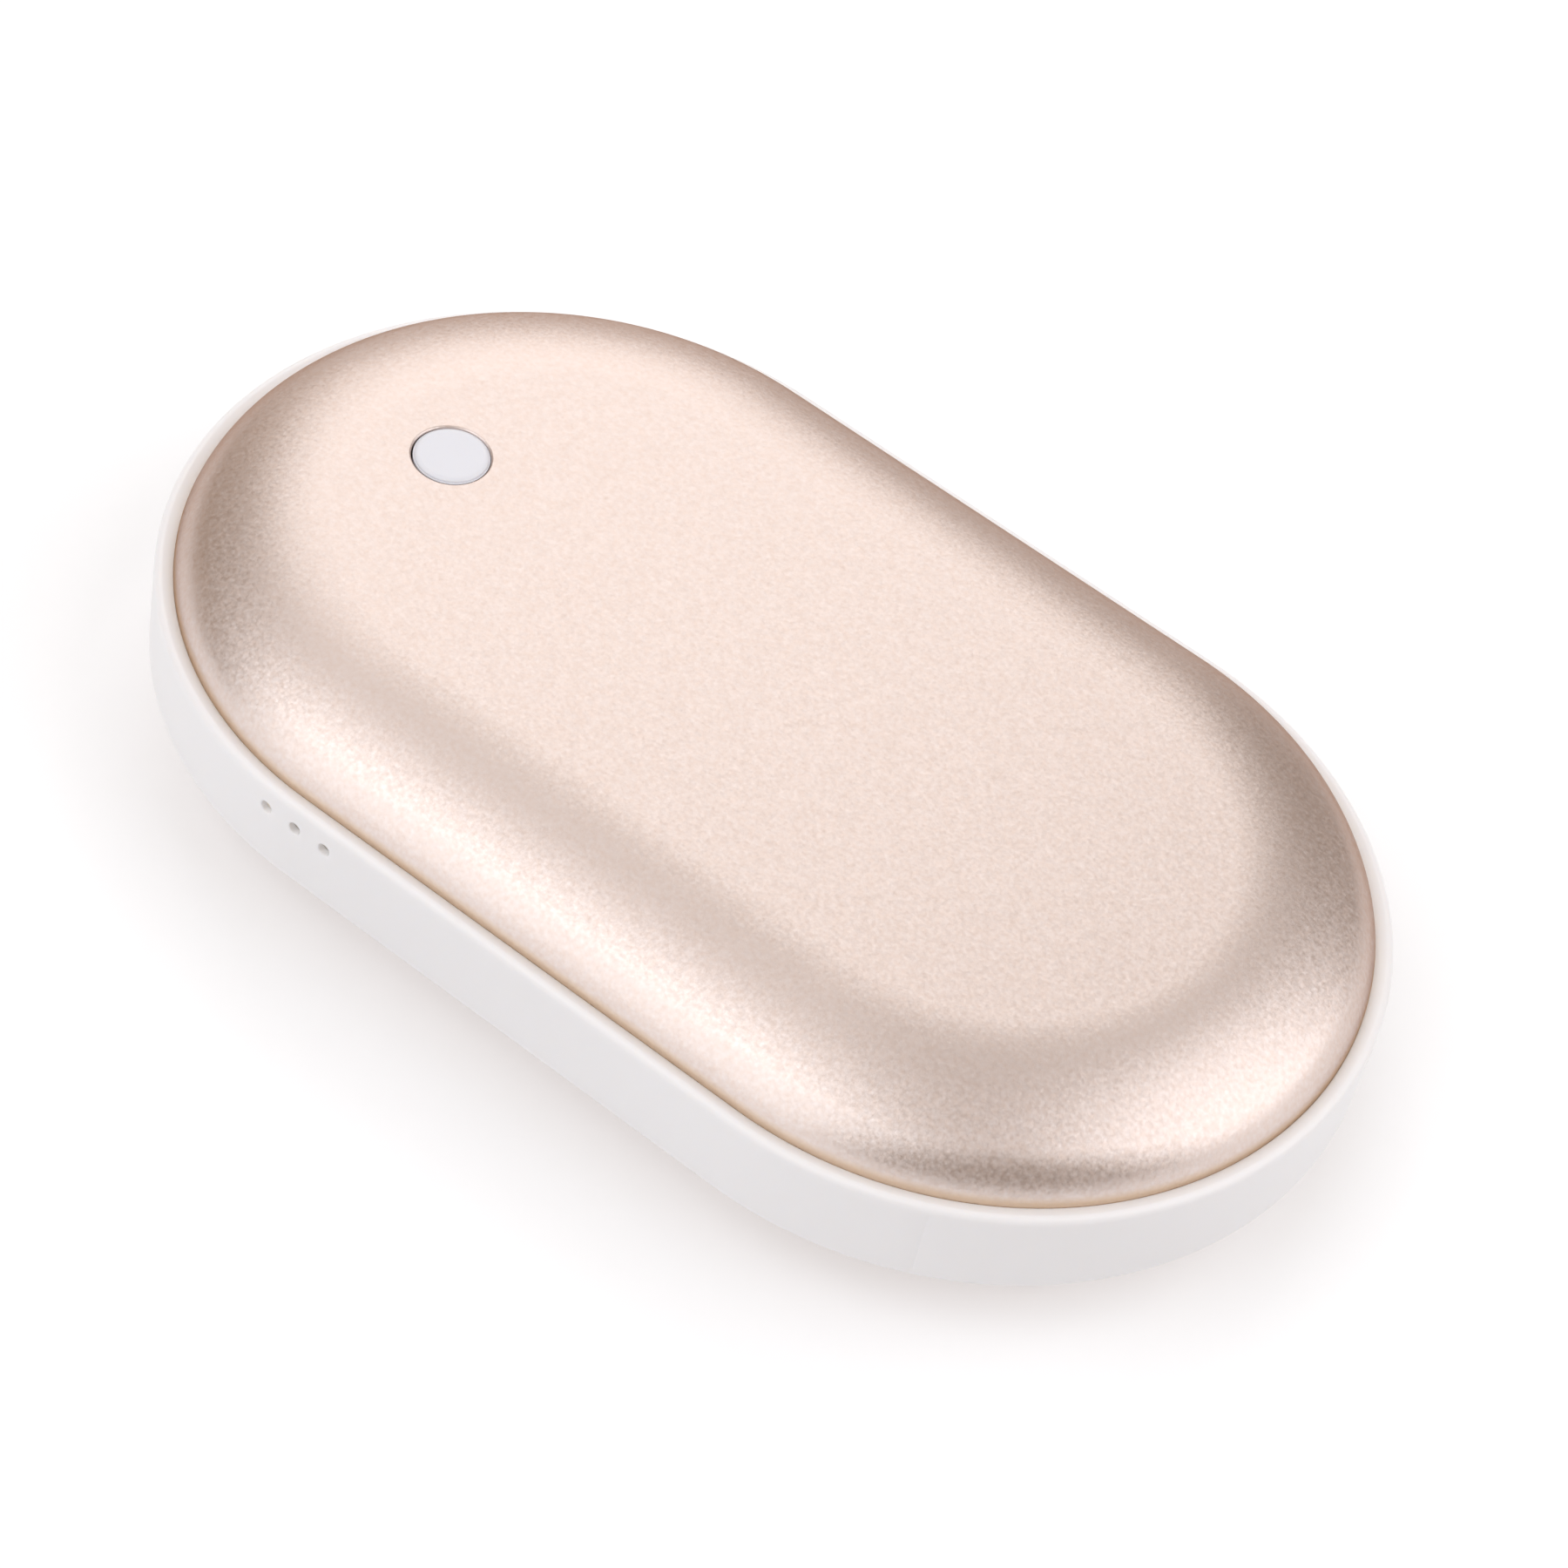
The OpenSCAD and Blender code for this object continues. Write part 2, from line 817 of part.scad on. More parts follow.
module usb_a_tongue() {
  tongue_w = socket_w - 2 * socket_tongue_side;
  color([0.93, 0.93, 0.94])
    at_socket() {
      translate([socket_l - socket_t - socket_block_l, 0, 0])
        rounded_bar(
          socket_block_l,
          socket_w - 2 * socket_t,
          socket_h - 2 * socket_t,
          socket_corner_r - socket_t
        );
      translate([socket_mouth, -tongue_w / 2, tongue_z() - socket_tongue_t / 2])
        cube([socket_l - socket_t - socket_block_l - socket_mouth, tongue_w, socket_tongue_t]);
    }
}

module usb_a_contacts() {
  contact_start = socket_l - socket_t - socket_block_l - contact_l;
  color([0.85, 0.7, 0.35])
    at_socket()
      for (i = [0:contact_count - 1])
        translate([
          contact_start,
          (i - (contact_count - 1) / 2) * contact_pitch - contact_w / 2,
          tongue_z() - socket_tongue_t / 2 - contact_t
        ])
          cube([contact_l, contact_w, contact_t]);
}

// Cross-section of the charging inlet, with its two lower corners cut off
module inlet_section(w, h, cut) {
  polygon([
    [-w / 2, h / 2], [w / 2, h / 2],
    [w / 2, cut - h / 2], [w / 2 - cut, -h / 2],
    [cut - w / 2, -h / 2], [-w / 2, cut - h / 2]
  ]);
}

// Moves children to the middle of the charging inlet's mouth, with +X into the body
module at_inlet() {
  translate([inlet_front_x, -inlet_offset, inlet_mid_z])
    children();
}

// Bar along +X with the charging inlet's cross-section
module inlet_bar(l, wall) {
  rotate([90, 0, 90])
    linear_extrude(l)
      inlet_section(inlet_w - 2 * wall, inlet_h - 2 * wall, inlet_chamfer - wall / 2);
}

module micro_usb_shell() {
  color([0.78, 0.79, 0.8])
    at_inlet()
      difference() {
        inlet_bar(inlet_l, 0);
        translate([-overrun, 0, 0])
          inlet_bar(inlet_l - inlet_t + overrun, inlet_t);
      }
}

module micro_usb_tongue() {
  tongue_l = inlet_l - inlet_t - inlet_block_l - inlet_tongue_gap;
  tongue_w = inlet_w - 2 * inlet_tongue_side;
  color([0.12, 0.12, 0.13])
    at_inlet() {
      translate([inlet_l - inlet_t - inlet_block_l, 0, 0])
        inlet_bar(inlet_block_l, inlet_t);
      translate([inlet_tongue_gap, -tongue_w / 2, -inlet_tongue_t / 2])
        cube([tongue_l, tongue_w, inlet_tongue_t]);
    }
}

// Moves children onto the circuit board
module on_board(place) {
  translate([board_edge_x, 0, board_top] + place)
    children();
}

module charge_chip() {
  color([0.1, 0.1, 0.11])
    on_board(charge_chip_place)
      cube(charge_chip_size);
}

module boost_chip() {
  color([0.1, 0.1, 0.11])
    on_board(boost_chip_place)
      cube(boost_chip_size);
}

module power_coil() {
  color([0.3, 0.3, 0.32])
    on_board(coil_place)
      rounded_box(coil_l, coil_l, coil_h, coil_l / 4);
}

module board_capacitors() {
  color([0.7, 0.6, 0.45])
    for (i = [0:capacitor_count - 1])
      on_board(capacitor_place - [0, i * capacitor_pitch, 0])
        cube(capacitor_size);
}

// Screw that points down from under its flat head, with a six-sided driver recess
module screw(d, l, head_d, head_h) {
  difference() {
    union() {
      translate([0, 0, -l])
        cylinder(d = d, h = l);
      cylinder(d = head_d, h = head_h);
    }
    translate([0, 0, head_h * driver_h_share])
      cylinder(d = head_d * driver_d_share, h = head_h, $fn = 6);
  }
}

module case_screws() {
  color([0.6, 0.6, 0.62])
    at_case_screws()
      translate([0, 0, case_head_z])
        rotate([180, 0, 0])
          screw(case_screw_d, case_screw_l, case_head_d, case_head_h);
}

module board_screws() {
  color([0.6, 0.6, 0.62])
    at_board_screws()
      translate([0, 0, board_top])
        screw(board_screw_d, board_screw_l, board_head_d, board_head_h);
}

module battery_leads() {
  start_z = board_top + battery_lead_rise;
  color([0.75, 0.1, 0.1])
    for (side = [-1, 1])
      lead(
        arch_route(
          [cell_start_x - cell_board_t, side * battery_lead_y, start_z],
          battery_lead_reach + board_to_cell,
          battery_lead_rise
        ),
        [[-1, 0, 0], [0, 0, -1]]
      );
}

// Pair of leads between two flat faces
module lead_pair(from, to, from_z, to_z) {
  way = [0, 0, to_z > from_z ? 1 : -1];
  for (side = [-1, 1])
    lead(
      s_route(
        [from.x, from.y + side * lead_gap / 2, from_z],
        [to.x, to.y + side * lead_gap / 2, to_z]
      ),
      [way, way]
    );
}

module top_heater_leads() {
  color([0.9, 0.9, 0.88])
    lead_pair(top_lead_start, top_lead_end, liner_z, board_top);
}

module bottom_heater_leads() {
  color([0.9, 0.9, 0.88])
    lead_pair(bottom_lead_start, bottom_lead_end, liner_inset, board_bottom);
}

mid_frame();
top_shell();
bottom_shell();
top_bracket();
bottom_bracket();
top_adhesive();
bottom_adhesive();
top_heater();
bottom_heater();
heat_sensor();
battery_cell();
battery_board();
top_foam_pad();
bottom_foam_pad();
circuit_board();
indicator_lights();
light_guide();
button_cap();
switch_body();
switch_cover();
switch_plunger();
usb_a_shell();
usb_a_tongue();
usb_a_contacts();
micro_usb_shell();
micro_usb_tongue();
charge_chip();
boost_chip();
power_coil();
board_capacitors();
case_screws();
board_screws();
battery_leads();
top_heater_leads();
bottom_heater_leads();
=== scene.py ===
"""Looks of a pebble-shaped rechargeable hand warmer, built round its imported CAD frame.

Everything is in metres in the CAD frame: +X runs along the length away from the ports,
-Y is the side with the three lights, and +Z is up from the resting face.
"""

import math

import bmesh
import bpy
import numpy as np
from mathutils import Matrix, Vector


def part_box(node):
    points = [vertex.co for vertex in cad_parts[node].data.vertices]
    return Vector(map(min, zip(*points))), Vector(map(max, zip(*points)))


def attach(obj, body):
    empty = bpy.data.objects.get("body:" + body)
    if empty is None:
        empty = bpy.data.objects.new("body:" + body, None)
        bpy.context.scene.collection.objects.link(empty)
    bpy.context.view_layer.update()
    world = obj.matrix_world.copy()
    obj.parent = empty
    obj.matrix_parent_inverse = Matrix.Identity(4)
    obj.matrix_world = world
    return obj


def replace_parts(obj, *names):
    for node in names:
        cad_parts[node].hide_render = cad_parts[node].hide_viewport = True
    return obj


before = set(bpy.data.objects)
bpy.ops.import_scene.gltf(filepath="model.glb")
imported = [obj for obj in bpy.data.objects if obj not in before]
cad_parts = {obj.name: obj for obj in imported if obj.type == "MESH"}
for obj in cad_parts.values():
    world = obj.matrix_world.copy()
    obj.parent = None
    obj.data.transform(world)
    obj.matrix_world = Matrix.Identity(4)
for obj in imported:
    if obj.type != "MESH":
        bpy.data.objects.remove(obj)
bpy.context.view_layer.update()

MM = 0.001

# Sizes read from the CAD nodes
BAND_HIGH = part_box("mid_frame")[1]
SHELL_LOW, SHELL_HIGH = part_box("top_shell")
BUTTON_LOW, BUTTON_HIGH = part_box("button_cap")
BAND_R = BAND_HIGH.y
HALF_RUN = BAND_HIGH.x - BAND_R
RIM_Z = BAND_HIGH.z
RIM_R = SHELL_HIGH.y
SEAT_Z = SHELL_LOW.z
THICKNESS = SHELL_HIGH.z
MID_Z = THICKNESS / 2

# Shell sizes, as in the CAD source
FLAT_R = 18 * MM
ROLL_R = 5.4 * MM
RIM_SLOPE = math.radians(75)
SHELL_T = 0.9 * MM
SHELL_HOLE_R = 3.16 * MM
SHELL_HOLE_ROUND = 0.18 * MM
# Distances of two rings on the flat from the rounded edge of the button's hole
SHELL_HOLE_RIMS = (0.12 * MM, 0.03 * MM)

# Sizes of the pieces under the shells, as in the CAD source
FILM_T = 0.3 * MM
BRACKET_T = 1.2 * MM
LEDGE_W = 0.5 * MM

# Band sizes
EDGE_R = 0.8 * MM
BEAD_R = 0.5 * MM
LIP_SLOPE = math.radians(20)
LIP_GAP = 0.02 * MM
LIP_ROUND = 0.06 * MM
LIP_DEPTH = 0.05 * MM
RIM_CLEARANCE = 0.01 * MM
# The two mould lines: depth, half width, and their directions in degrees at the +X and -X ends
MOULD_LINE_DEPTH = 0.035 * MM
MOULD_LINE_HALF = 0.09 * MM
MOULD_LINE_FAR = -61.0
MOULD_LINE_NEAR = 210.0

# Light holes: rounding, radius in front, radius behind, and where and over what length it widens
LIGHT_EDGE = 0.13 * MM
LIGHT_MOUTH_R = 0.53 * MM
LIGHT_SEAT_R = 0.61 * MM
LIGHT_SEAT_DEPTH = 0.6 * MM
LIGHT_SEAT_STEP = 0.04 * MM
# Length of one lamp on the board
LAMP_L = 1.6 * MM

# Passages to the ports: rounding, half width, half height, corner, and the Y limits of their cells
PORT_EDGE = 0.2 * MM
USB_PASSAGE_Y = 9.8 * MM
USB_PASSAGE_HALF = (6.7 * MM, 3.0 * MM)
USB_PASSAGE_CORNER = 0.6 * MM
USB_CELL_Y = np.array([1.9, 19.0]) * MM
INLET_PASSAGE_HALF = (4.05 * MM, 1.65 * MM)
INLET_PASSAGE_CORNER = 0.5 * MM
INLET_CELL_Y = np.array([-12.2, -0.6]) * MM

# Collar behind the output socket's passage: how far its foot stands out into the wall, how far
# its lip, its bore and the eased end of its bore lie inside the passage, and lengths along X
COLLAR_FOOT = 0.05 * MM
COLLAR_LIP = 0.06 * MM
COLLAR_BORE = 0.35 * MM
COLLAR_EASED = 0.28 * MM
COLLAR_EASE_L = 0.07 * MM
COLLAR_L = 0.6 * MM
COLLAR_LEAST_L = 0.02 * MM
COLLAR_END_GAP = 0.05 * MM
COLLAR_STEP_BACK = 0.05 * MM
COLLAR_STEP_MARGINS = (0.005 * MM, 0.01 * MM)
COLLAR_LEAST_SHARE = 0.1

# Output socket: folded sheet, spring leaves (root and tip from the mouth) and board tabs
USB_W = 13.1 * MM
USB_SHEET = 0.3 * MM
USB_CORNER_R = 0.6 * MM
USB_LEAF_Y = 2.9 * MM
USB_LEAF_ROOT = 7.5 * MM
USB_LEAF_TIP = 1.5 * MM
USB_LEAF_SHEET = 0.2 * MM
USB_LEAF_W = 2.2 * MM
USB_UPPER_RISE = 0.42 * MM
USB_LOWER_RISE = 0.55 * MM
USB_SIDE_LEAF_W = 1.5 * MM
USB_SIDE_RISE = 0.3 * MM
USB_SIDE_DROP = 0.3 * MM
TAB_HALF_L = 1.0 * MM
TAB_HALF_W = 0.6 * MM
TAB_CORNER_R = 0.2 * MM
TAB_BACK = 3 * MM

# Charging inlet: folded sheet, flared mouth and two spring leaves below
INLET_CUT = 0.8 * MM
INLET_SHEET = 0.25 * MM
INLET_CORNER_R = 0.35 * MM
INLET_FLARE = 0.16 * MM
INLET_FLARE_L = 0.7 * MM
INLET_LEAF_Y = 1.5 * MM
INLET_LEAF_ROOT = 3.6 * MM
INLET_LEAF_TIP = 1.4 * MM
INLET_LEAF_W = 0.9 * MM
INLET_LEAF_RISE = 0.22 * MM
INLET_LEAF_SHEET = 0.12 * MM

# Every spring leaf: the share of a half wave that it bends through, how much it narrows to its
# tip, and how deep its root is sunk in the wall as a share of its sheet
LEAF_WAVE = 0.85
LEAF_NARROWING = 0.25
LEAF_SINK = 0.2

# Button sizes
BUTTON_X = (BUTTON_LOW.x + BUTTON_HIGH.x) / 2
BUTTON_R = 3 * MM
BUTTON_EDGE_W = 0.5 * MM
BUTTON_EDGE_H = 0.22 * MM
BUTTON_CROWN = 0.03 * MM
# The cap sits this far off the middle of its hole, in X and Y
BUTTON_LEAN = (-0.01 * MM, 0.087 * MM)
HEAD_R = 2.95 * MM
HEAD_T = 0.26 * MM
RETAINER_R = 3.065 * MM
RETAINER_T = 0.6 * MM
RETAINER_LEAD = 0.03 * MM
RETAINER_TAPER = 0.1 * MM
FLANGE_R = BUTTON_HIGH.x - BUTTON_X
FLANGE_T = 0.7 * MM
FLANGE_GAP = 0.1 * MM
STEM_R = 1.5 * MM
# Radius of the small flats that close the button at its axis
AXIS_R = 0.02 * MM

# Steps of the grids
BEND_STEPS = 112
SIDE_STEPS = 30
ROLL_STEPS = 20
SHOULDER_STEPS = 28
USB_BEND_STEPS = 26
BETWEEN_PORTS_STEPS = 3
NEAR_BEND_STEPS = 30
LIGHT_CELL_STEPS = 14
LATHE_STEPS = 96
CROWN_STEPS = 13
BEAD_STEPS = 12
ROUND_STEPS = 4
CORNER_STEPS = 5
COLLAR_SIDE_STEPS = 15
MOUTH_STEPS = 7
FOLD_STEPS = 8
LEAF_STEPS = 16
# Shares of the way to a hole at which a shell's flat and a band's cell have their rings
FLAT_RINGS = (0, 0.35, 0.7, 0.9)
INNER_FLAT_RING = 0.3
CELL_RINGS = (0, 0.4, 0.75)
# Shares across a port's cell at which its stations lie, closer together at the corners
PORT_SHARES = np.concatenate(
    [np.linspace(-1, -0.86, 8), np.linspace(-0.86, 0.86, 17)[1:-1], np.linspace(0.86, 1, 8)]
)
# Shares of the band's wall, from its middle height, at which its rows lie
WALL_SHARES = np.array([-1, -0.97, -0.93, -0.88, -0.83, -0.78, -0.7, -0.45, -0.2, 0])
WALL_SHARES = np.concatenate([WALL_SHARES, -WALL_SHARES[-2::-1]])

# Points closer than this are welded, and edges shorter than this are dissolved
WELD = 0.0004 * MM
SLIVER = 0.0002 * MM


# Mesh helpers


def grid_quads(rows, cols, start, close_rows, close_cols):
    """Corner numbers of the quads on a grid of rows by cols points, joined round where asked."""
    r = np.arange(rows if close_rows else rows - 1)
    c = np.arange(cols if close_cols else cols - 1)
    r, c = np.meshgrid(r, c, indexing="ij")
    r2, c2 = (r + 1) % rows, (c + 1) % cols
    quads = np.stack([r * cols + c, r * cols + c2, r2 * cols + c2, r2 * cols + c], axis=-1)
    return quads.reshape(-1, 4) + start


class Patches:
    """Grids of points that are gathered and then welded into one mesh."""

    def __init__(self):
        self.points, self.faces, self.count = [], [], 0

    def grid(self, points, close_rows=False, close_cols=False):
        """Adds a grid of points, shaped rows by cols by 3."""
        rows, cols = points.shape[:2]
        self.points.append(points.reshape(-1, 3))
        self.faces += grid_quads(rows, cols, self.count, close_rows, close_cols).tolist()
        self.count += rows * cols

    def cap(self, ring):
        """Fills a flat ring of points with one face."""
        self.points.append(ring)
        self.faces.append(list(range(self.count, self.count + len(ring))))
        self.count += len(ring)

    def piece(self, name, material, sharp=35):
        """Welds what was gathered into a piece whose faces point outwards.

        Edges where the surface turns by more than sharp degrees are shaded as corners.
        """
        mesh = bpy.data.meshes.new(name)
        mesh.from_pydata(np.concatenate(self.points).tolist(), [], self.faces)
        bm = bmesh.new()
        bm.from_mesh(mesh)
        bmesh.ops.remove_doubles(bm, verts=bm.verts, dist=WELD)
        bmesh.ops.dissolve_degenerate(bm, edges=bm.edges, dist=SLIVER)
        bmesh.ops.recalc_face_normals(bm, faces=bm.faces)
        bm.to_mesh(mesh)
        bm.free()
        mesh.shade_smooth()
        mesh.set_sharp_from_angle(angle=math.radians(sharp))
        mesh.materials.append(material)
        made = bpy.data.objects.new(name, mesh)
        bpy.context.scene.collection.objects.link(made)
        return made


def arc(centre, radius, start, end, steps):
    """Points (radius, height) on an arc: centre plus radius times the sine and cosine of an angle.

    The angle is measured from the upright.
    """
    turn = np.linspace(start, end, steps + 1)
    return np.stack([centre[0] + radius * np.sin(turn), centre[1] + radius * np.cos(turn)], axis=1)


def lathe(profile, x, y):
    """Points of a profile of (radius, height) turned round the upright axis at (x, y)."""
    turn = np.linspace(0, 2 * math.pi, LATHE_STEPS, endpoint=False)
    r, z = profile[:, 0, None], profile[:, 1, None]
    points = np.broadcast_arrays(x + r * np.cos(turn), y + r * np.sin(turn), z)
    return np.stack(points, axis=-1)


def rectangle(a, b):
    """Corners of a rectangle of half sizes a and b, counter-clockwise from the lower left."""
    return [(-a, -b), (a, -b), (a, b), (-a, b)]


def rounded_section(corners, corner_r, grow=0.0):
    """Outline (across, up) of a convex section given counter-clockwise: an arc at each corner.

    Each arc turns about the point corner_r inside both sides, and its radius is corner_r plus
    grow, so that outlines of different grow match point by point.
    """
    corners = np.asarray(corners, dtype=float)
    along = np.roll(corners, -1, axis=0) - corners
    along /= np.linalg.norm(along, axis=1)[:, None]
    out = np.stack([along[:, 1], -along[:, 0]], axis=1)
    before = np.roll(out, 1, axis=0)
    agree = np.sum(before * out, axis=1)
    centre = corners - corner_r * (before + out) / (1 + agree)[:, None]
    start = np.arctan2(before[:, 1], before[:, 0])
    turn = np.arctan2(before[:, 0] * out[:, 1] - before[:, 1] * out[:, 0], agree)
    angle = start[:, None] + turn[:, None] * np.linspace(0, 1, CORNER_STEPS + 1)
    round_it = np.stack([np.cos(angle), np.sin(angle)], axis=-1)
    return (centre[:, None] + (corner_r + grow) * round_it).reshape(-1, 2)


# Stations round the body: rows of (X of the profile's centre, outward direction in X and Y)


def bend(end, start, stop, steps):
    """Stations on the bend at one end, 1 or -1 in X: its centre, then the cosine and sine.

    The angle runs from start to stop in degrees from +X.
    """
    turn = np.radians(np.linspace(start, stop, steps + 1))
    return np.stack([np.full_like(turn, end * HALF_RUN), np.cos(turn), np.sin(turn)], axis=1)


def side(y_sign, start, stop, steps):
    """Stations on a straight side, by place in X."""
    x = np.linspace(start, stop, steps + 1)
    return np.stack([x, 0 * x, np.full_like(x, y_sign)], axis=1)


def stations_at_x(x):
    """Stations on the light side whose outer points have these X places.

    On the straight they face -Y, and on the bend before it the cosine is the share of the
    radius by which X lies past the straight.
    """
    past = np.minimum(x + HALF_RUN, 0) / BAND_R
    return np.stack([np.maximum(x, -HALF_RUN), past, -np.sqrt(1 - past**2)], axis=1)


def port_stations(limits):
    """Stations on the ports' bend from one Y limit to the other, placed by the port shares.

    The sine is the share of the radius at which Y lies.
    """
    low, high = limits
    across = ((low + high) / 2 + PORT_SHARES * (high - low) / 2) / BAND_R
    return np.stack([np.full_like(across, -HALF_RUN), -np.sqrt(1 - across**2), across], axis=1)


def whole_round():
    """Stations round the whole stadium, each once, counter-clockwise from the light side's end."""
    return np.concatenate(
        [
            bend(1, -90, 90, BEND_STEPS)[:-1],
            side(1, HALF_RUN, -HALF_RUN, SIDE_STEPS)[:-1],
            bend(-1, 90, 270, BEND_STEPS)[:-1],
            side(-1, -HALF_RUN, HALF_RUN, SIDE_STEPS)[:-1],
        ]
    )


def bearing(station):
    """Direction in which a station faces, in degrees from +X."""
    return math.degrees(math.atan2(station[2], station[1])) % 360


def bend_with_line(end, start, stop, line, steps):
    """Stations of a bend with three close ones at a mould line, and the middle one's number."""
    half_turn = math.degrees(MOULD_LINE_HALF / BAND_R)
    steps_before = max(2, int(steps * (line - start) / (stop - start)))
    steps_after = max(2, int(steps * (stop - line) / (stop - start)))
    before = bend(end, start, line - half_turn, steps_before)
    after = bend(end, line + half_turn, stop, steps_after)
    middle = bend(end, line, line, 1)[:1]
    return np.concatenate([before, middle, after]), len(before)


def swept(stations, profile):
    """Points of a profile of (radius, height) carried round: centre plus radius times direction."""
    r, z = profile[:, 0, None], profile[:, 1, None]
    x, dx, dy = stations.T
    return np.stack(np.broadcast_arrays(x + r * dx, r * dy, z), axis=-1)


def turned_over(points):
    """The same points in the lower half, mirrored about the middle height."""
    return points * [1, 1, -1] + [0, 0, THICKNESS]


# The shells


def dome_curve(inset):
    """Radius and height of a shell's face this far inside its outer face, from foot to flat.

    An upright wall, the tight roll and the wide shoulder follow each other with no corner. The
    shoulder's radius and sweep are those of the arc that runs from the flat into the roll.
    """
    run = RIM_R - FLAT_R - ROLL_R * math.sin(RIM_SLOPE)
    drop = THICKNESS - RIM_Z - ROLL_R * (1 - math.cos(RIM_SLOPE))
    sweep = 2 * math.atan2(drop, run)
    shoulder_r = ROLL_R + run / math.sin(sweep)
    shoulder = np.array([FLAT_R, THICKNESS - shoulder_r])
    roll = shoulder + (shoulder_r - ROLL_R) * np.array([math.sin(sweep), math.cos(sweep)])
    wall_r = RIM_R - inset * math.sin(RIM_SLOPE)
    return np.concatenate(
        [
            [[wall_r, SEAT_Z]],
            arc(roll, ROLL_R - inset, RIM_SLOPE, sweep, ROLL_STEPS),
            arc(shoulder, shoulder_r - inset, sweep, 0, SHOULDER_STEPS)[1:],
        ]
    )


def holed_flat(flat_out, flat_in):
    """Rings over a shell's flat, from its outer edge over the button's hole to its inner edge.

    Each point of the edge goes straight to the hole, whose upper edge is a quarter round.
    """
    centre = np.array([BUTTON_X, 0.0])
    aim = flat_out[:, :2] - centre
    aim /= np.linalg.norm(aim, axis=1)[:, None]
    round_centre = (SHELL_HOLE_R + SHELL_HOLE_ROUND, THICKNESS - SHELL_HOLE_ROUND)
    rounds = arc(round_centre, SHELL_HOLE_ROUND, 0, -math.pi / 2, ROUND_STEPS)
    rims = rounds[0] + np.array([[distance, 0] for distance in SHELL_HOLE_RIMS])

    def ring(r, z):
        """Ring of this radius and height round the hole."""
        return np.column_stack([centre + r * aim, np.full(len(aim), z)])

    edge = [ring(r, z) for r, z in [*rims, *rounds]]
    foot = ring(SHELL_HOLE_R, THICKNESS - SHELL_T)
    out_rings = [flat_out + (edge[0] - flat_out) * share for share in FLAT_RINGS]
    in_rings = [foot, foot + (flat_in - foot) * INNER_FLAT_RING, flat_in]
    return np.array(out_rings + edge + in_rings)


def shell(name, material, lower):
    """A pressed shell: its outer and inner dome carried round the stadium, and its two flats.

    The upper shell has the button's hole, and the lower one is whole and turned over.
    """
    patches = Patches()
    around = whole_round()
    outer, inner = dome_curve(0), dome_curve(SHELL_T)
    flat_out = swept(around, outer[-1:])[0]
    flat_in = swept(around, inner[-1:])[0]
    if lower:
        patches.cap(flat_out)
        patches.cap(flat_in)
    else:
        patches.grid(holed_flat(flat_out, flat_in), close_cols=True)
    patches.grid(swept(around, np.concatenate([inner[::-1], outer])), close_cols=True)
    if lower:
        patches.points = [turned_over(points) for points in patches.points]
    return patches.piece(name, material, sharp=40)


# The band


class Hole:
    """A hole through the band's wall, along axis "x" at the ports and "y" at the lights.

    It is a rectangle with round corners, or a circle where the corner is as wide as the hole. Its
    place across the wall is p, edge is the rounding of its mouth, and seat is how much wider it
    gets further in.
    """

    def __init__(self, axis, p, z, half_p, half_z, corner, edge, seat=0.0):
        self.axis, self.p, self.z = axis, p, z
        self.half_p, self.half_z, self.corner = half_p, half_z, corner
        self.edge, self.seat = edge, seat
        self.is_circle = corner >= half_p

    def outline(self, share_p, share_z, grow):
        """Outline (across, up) at the places matched to the cell's edge, grown evenly.

        A circle takes each place's angle. A rectangle takes its share, and a point in a corner
        moves onto the corner's arc.
        """
        a, b, c = self.half_p + grow, self.half_z + grow, self.corner + grow
        if self.is_circle:
            turn = np.arctan2(share_z, share_p)
            return self.p + a * np.cos(turn), self.z + a * np.sin(turn)
        q = np.stack([share_p * a, share_z * b], axis=-1)
        core = np.clip(q, [c - a, c - b], [a - c, b - c])
        out = q - core
        length = np.maximum(np.linalg.norm(out, axis=1), 1e-9)[:, None]
        in_corner = (np.abs(q[:, 0]) > a - c) & (np.abs(q[:, 1]) > b - c)
        q = np.where(in_corner[:, None], core + out / length * c, q)
        return self.p + q[:, 0], self.z + q[:, 1]

    def on_wall(self, p, z, radius):
        """Points of the upright wall of this radius at places (p, z), by the circle's equation."""
        if self.axis == "y":
            past = np.minimum(p + HALF_RUN, 0)
            return np.stack([p, -np.sqrt(radius**2 - past**2), z], axis=-1)
        return np.stack([-HALF_RUN - np.sqrt(radius**2 - p**2), p, z], axis=-1)


def cell_ring(p, z):
    """Places (p, z) round the edge of a cell, counter-clockwise from its first lower corner."""
    up, across = len(z) - 1, len(p) - 1
    ring_p = np.concatenate([p[:-1], np.full(up, p[-1]), p[:0:-1], np.full(up, p[0])])
    ring_z = np.concatenate([np.full(across, z[0]), z[:-1], np.full(across, z[-1]), z[:0:-1]])
    return ring_p, ring_z


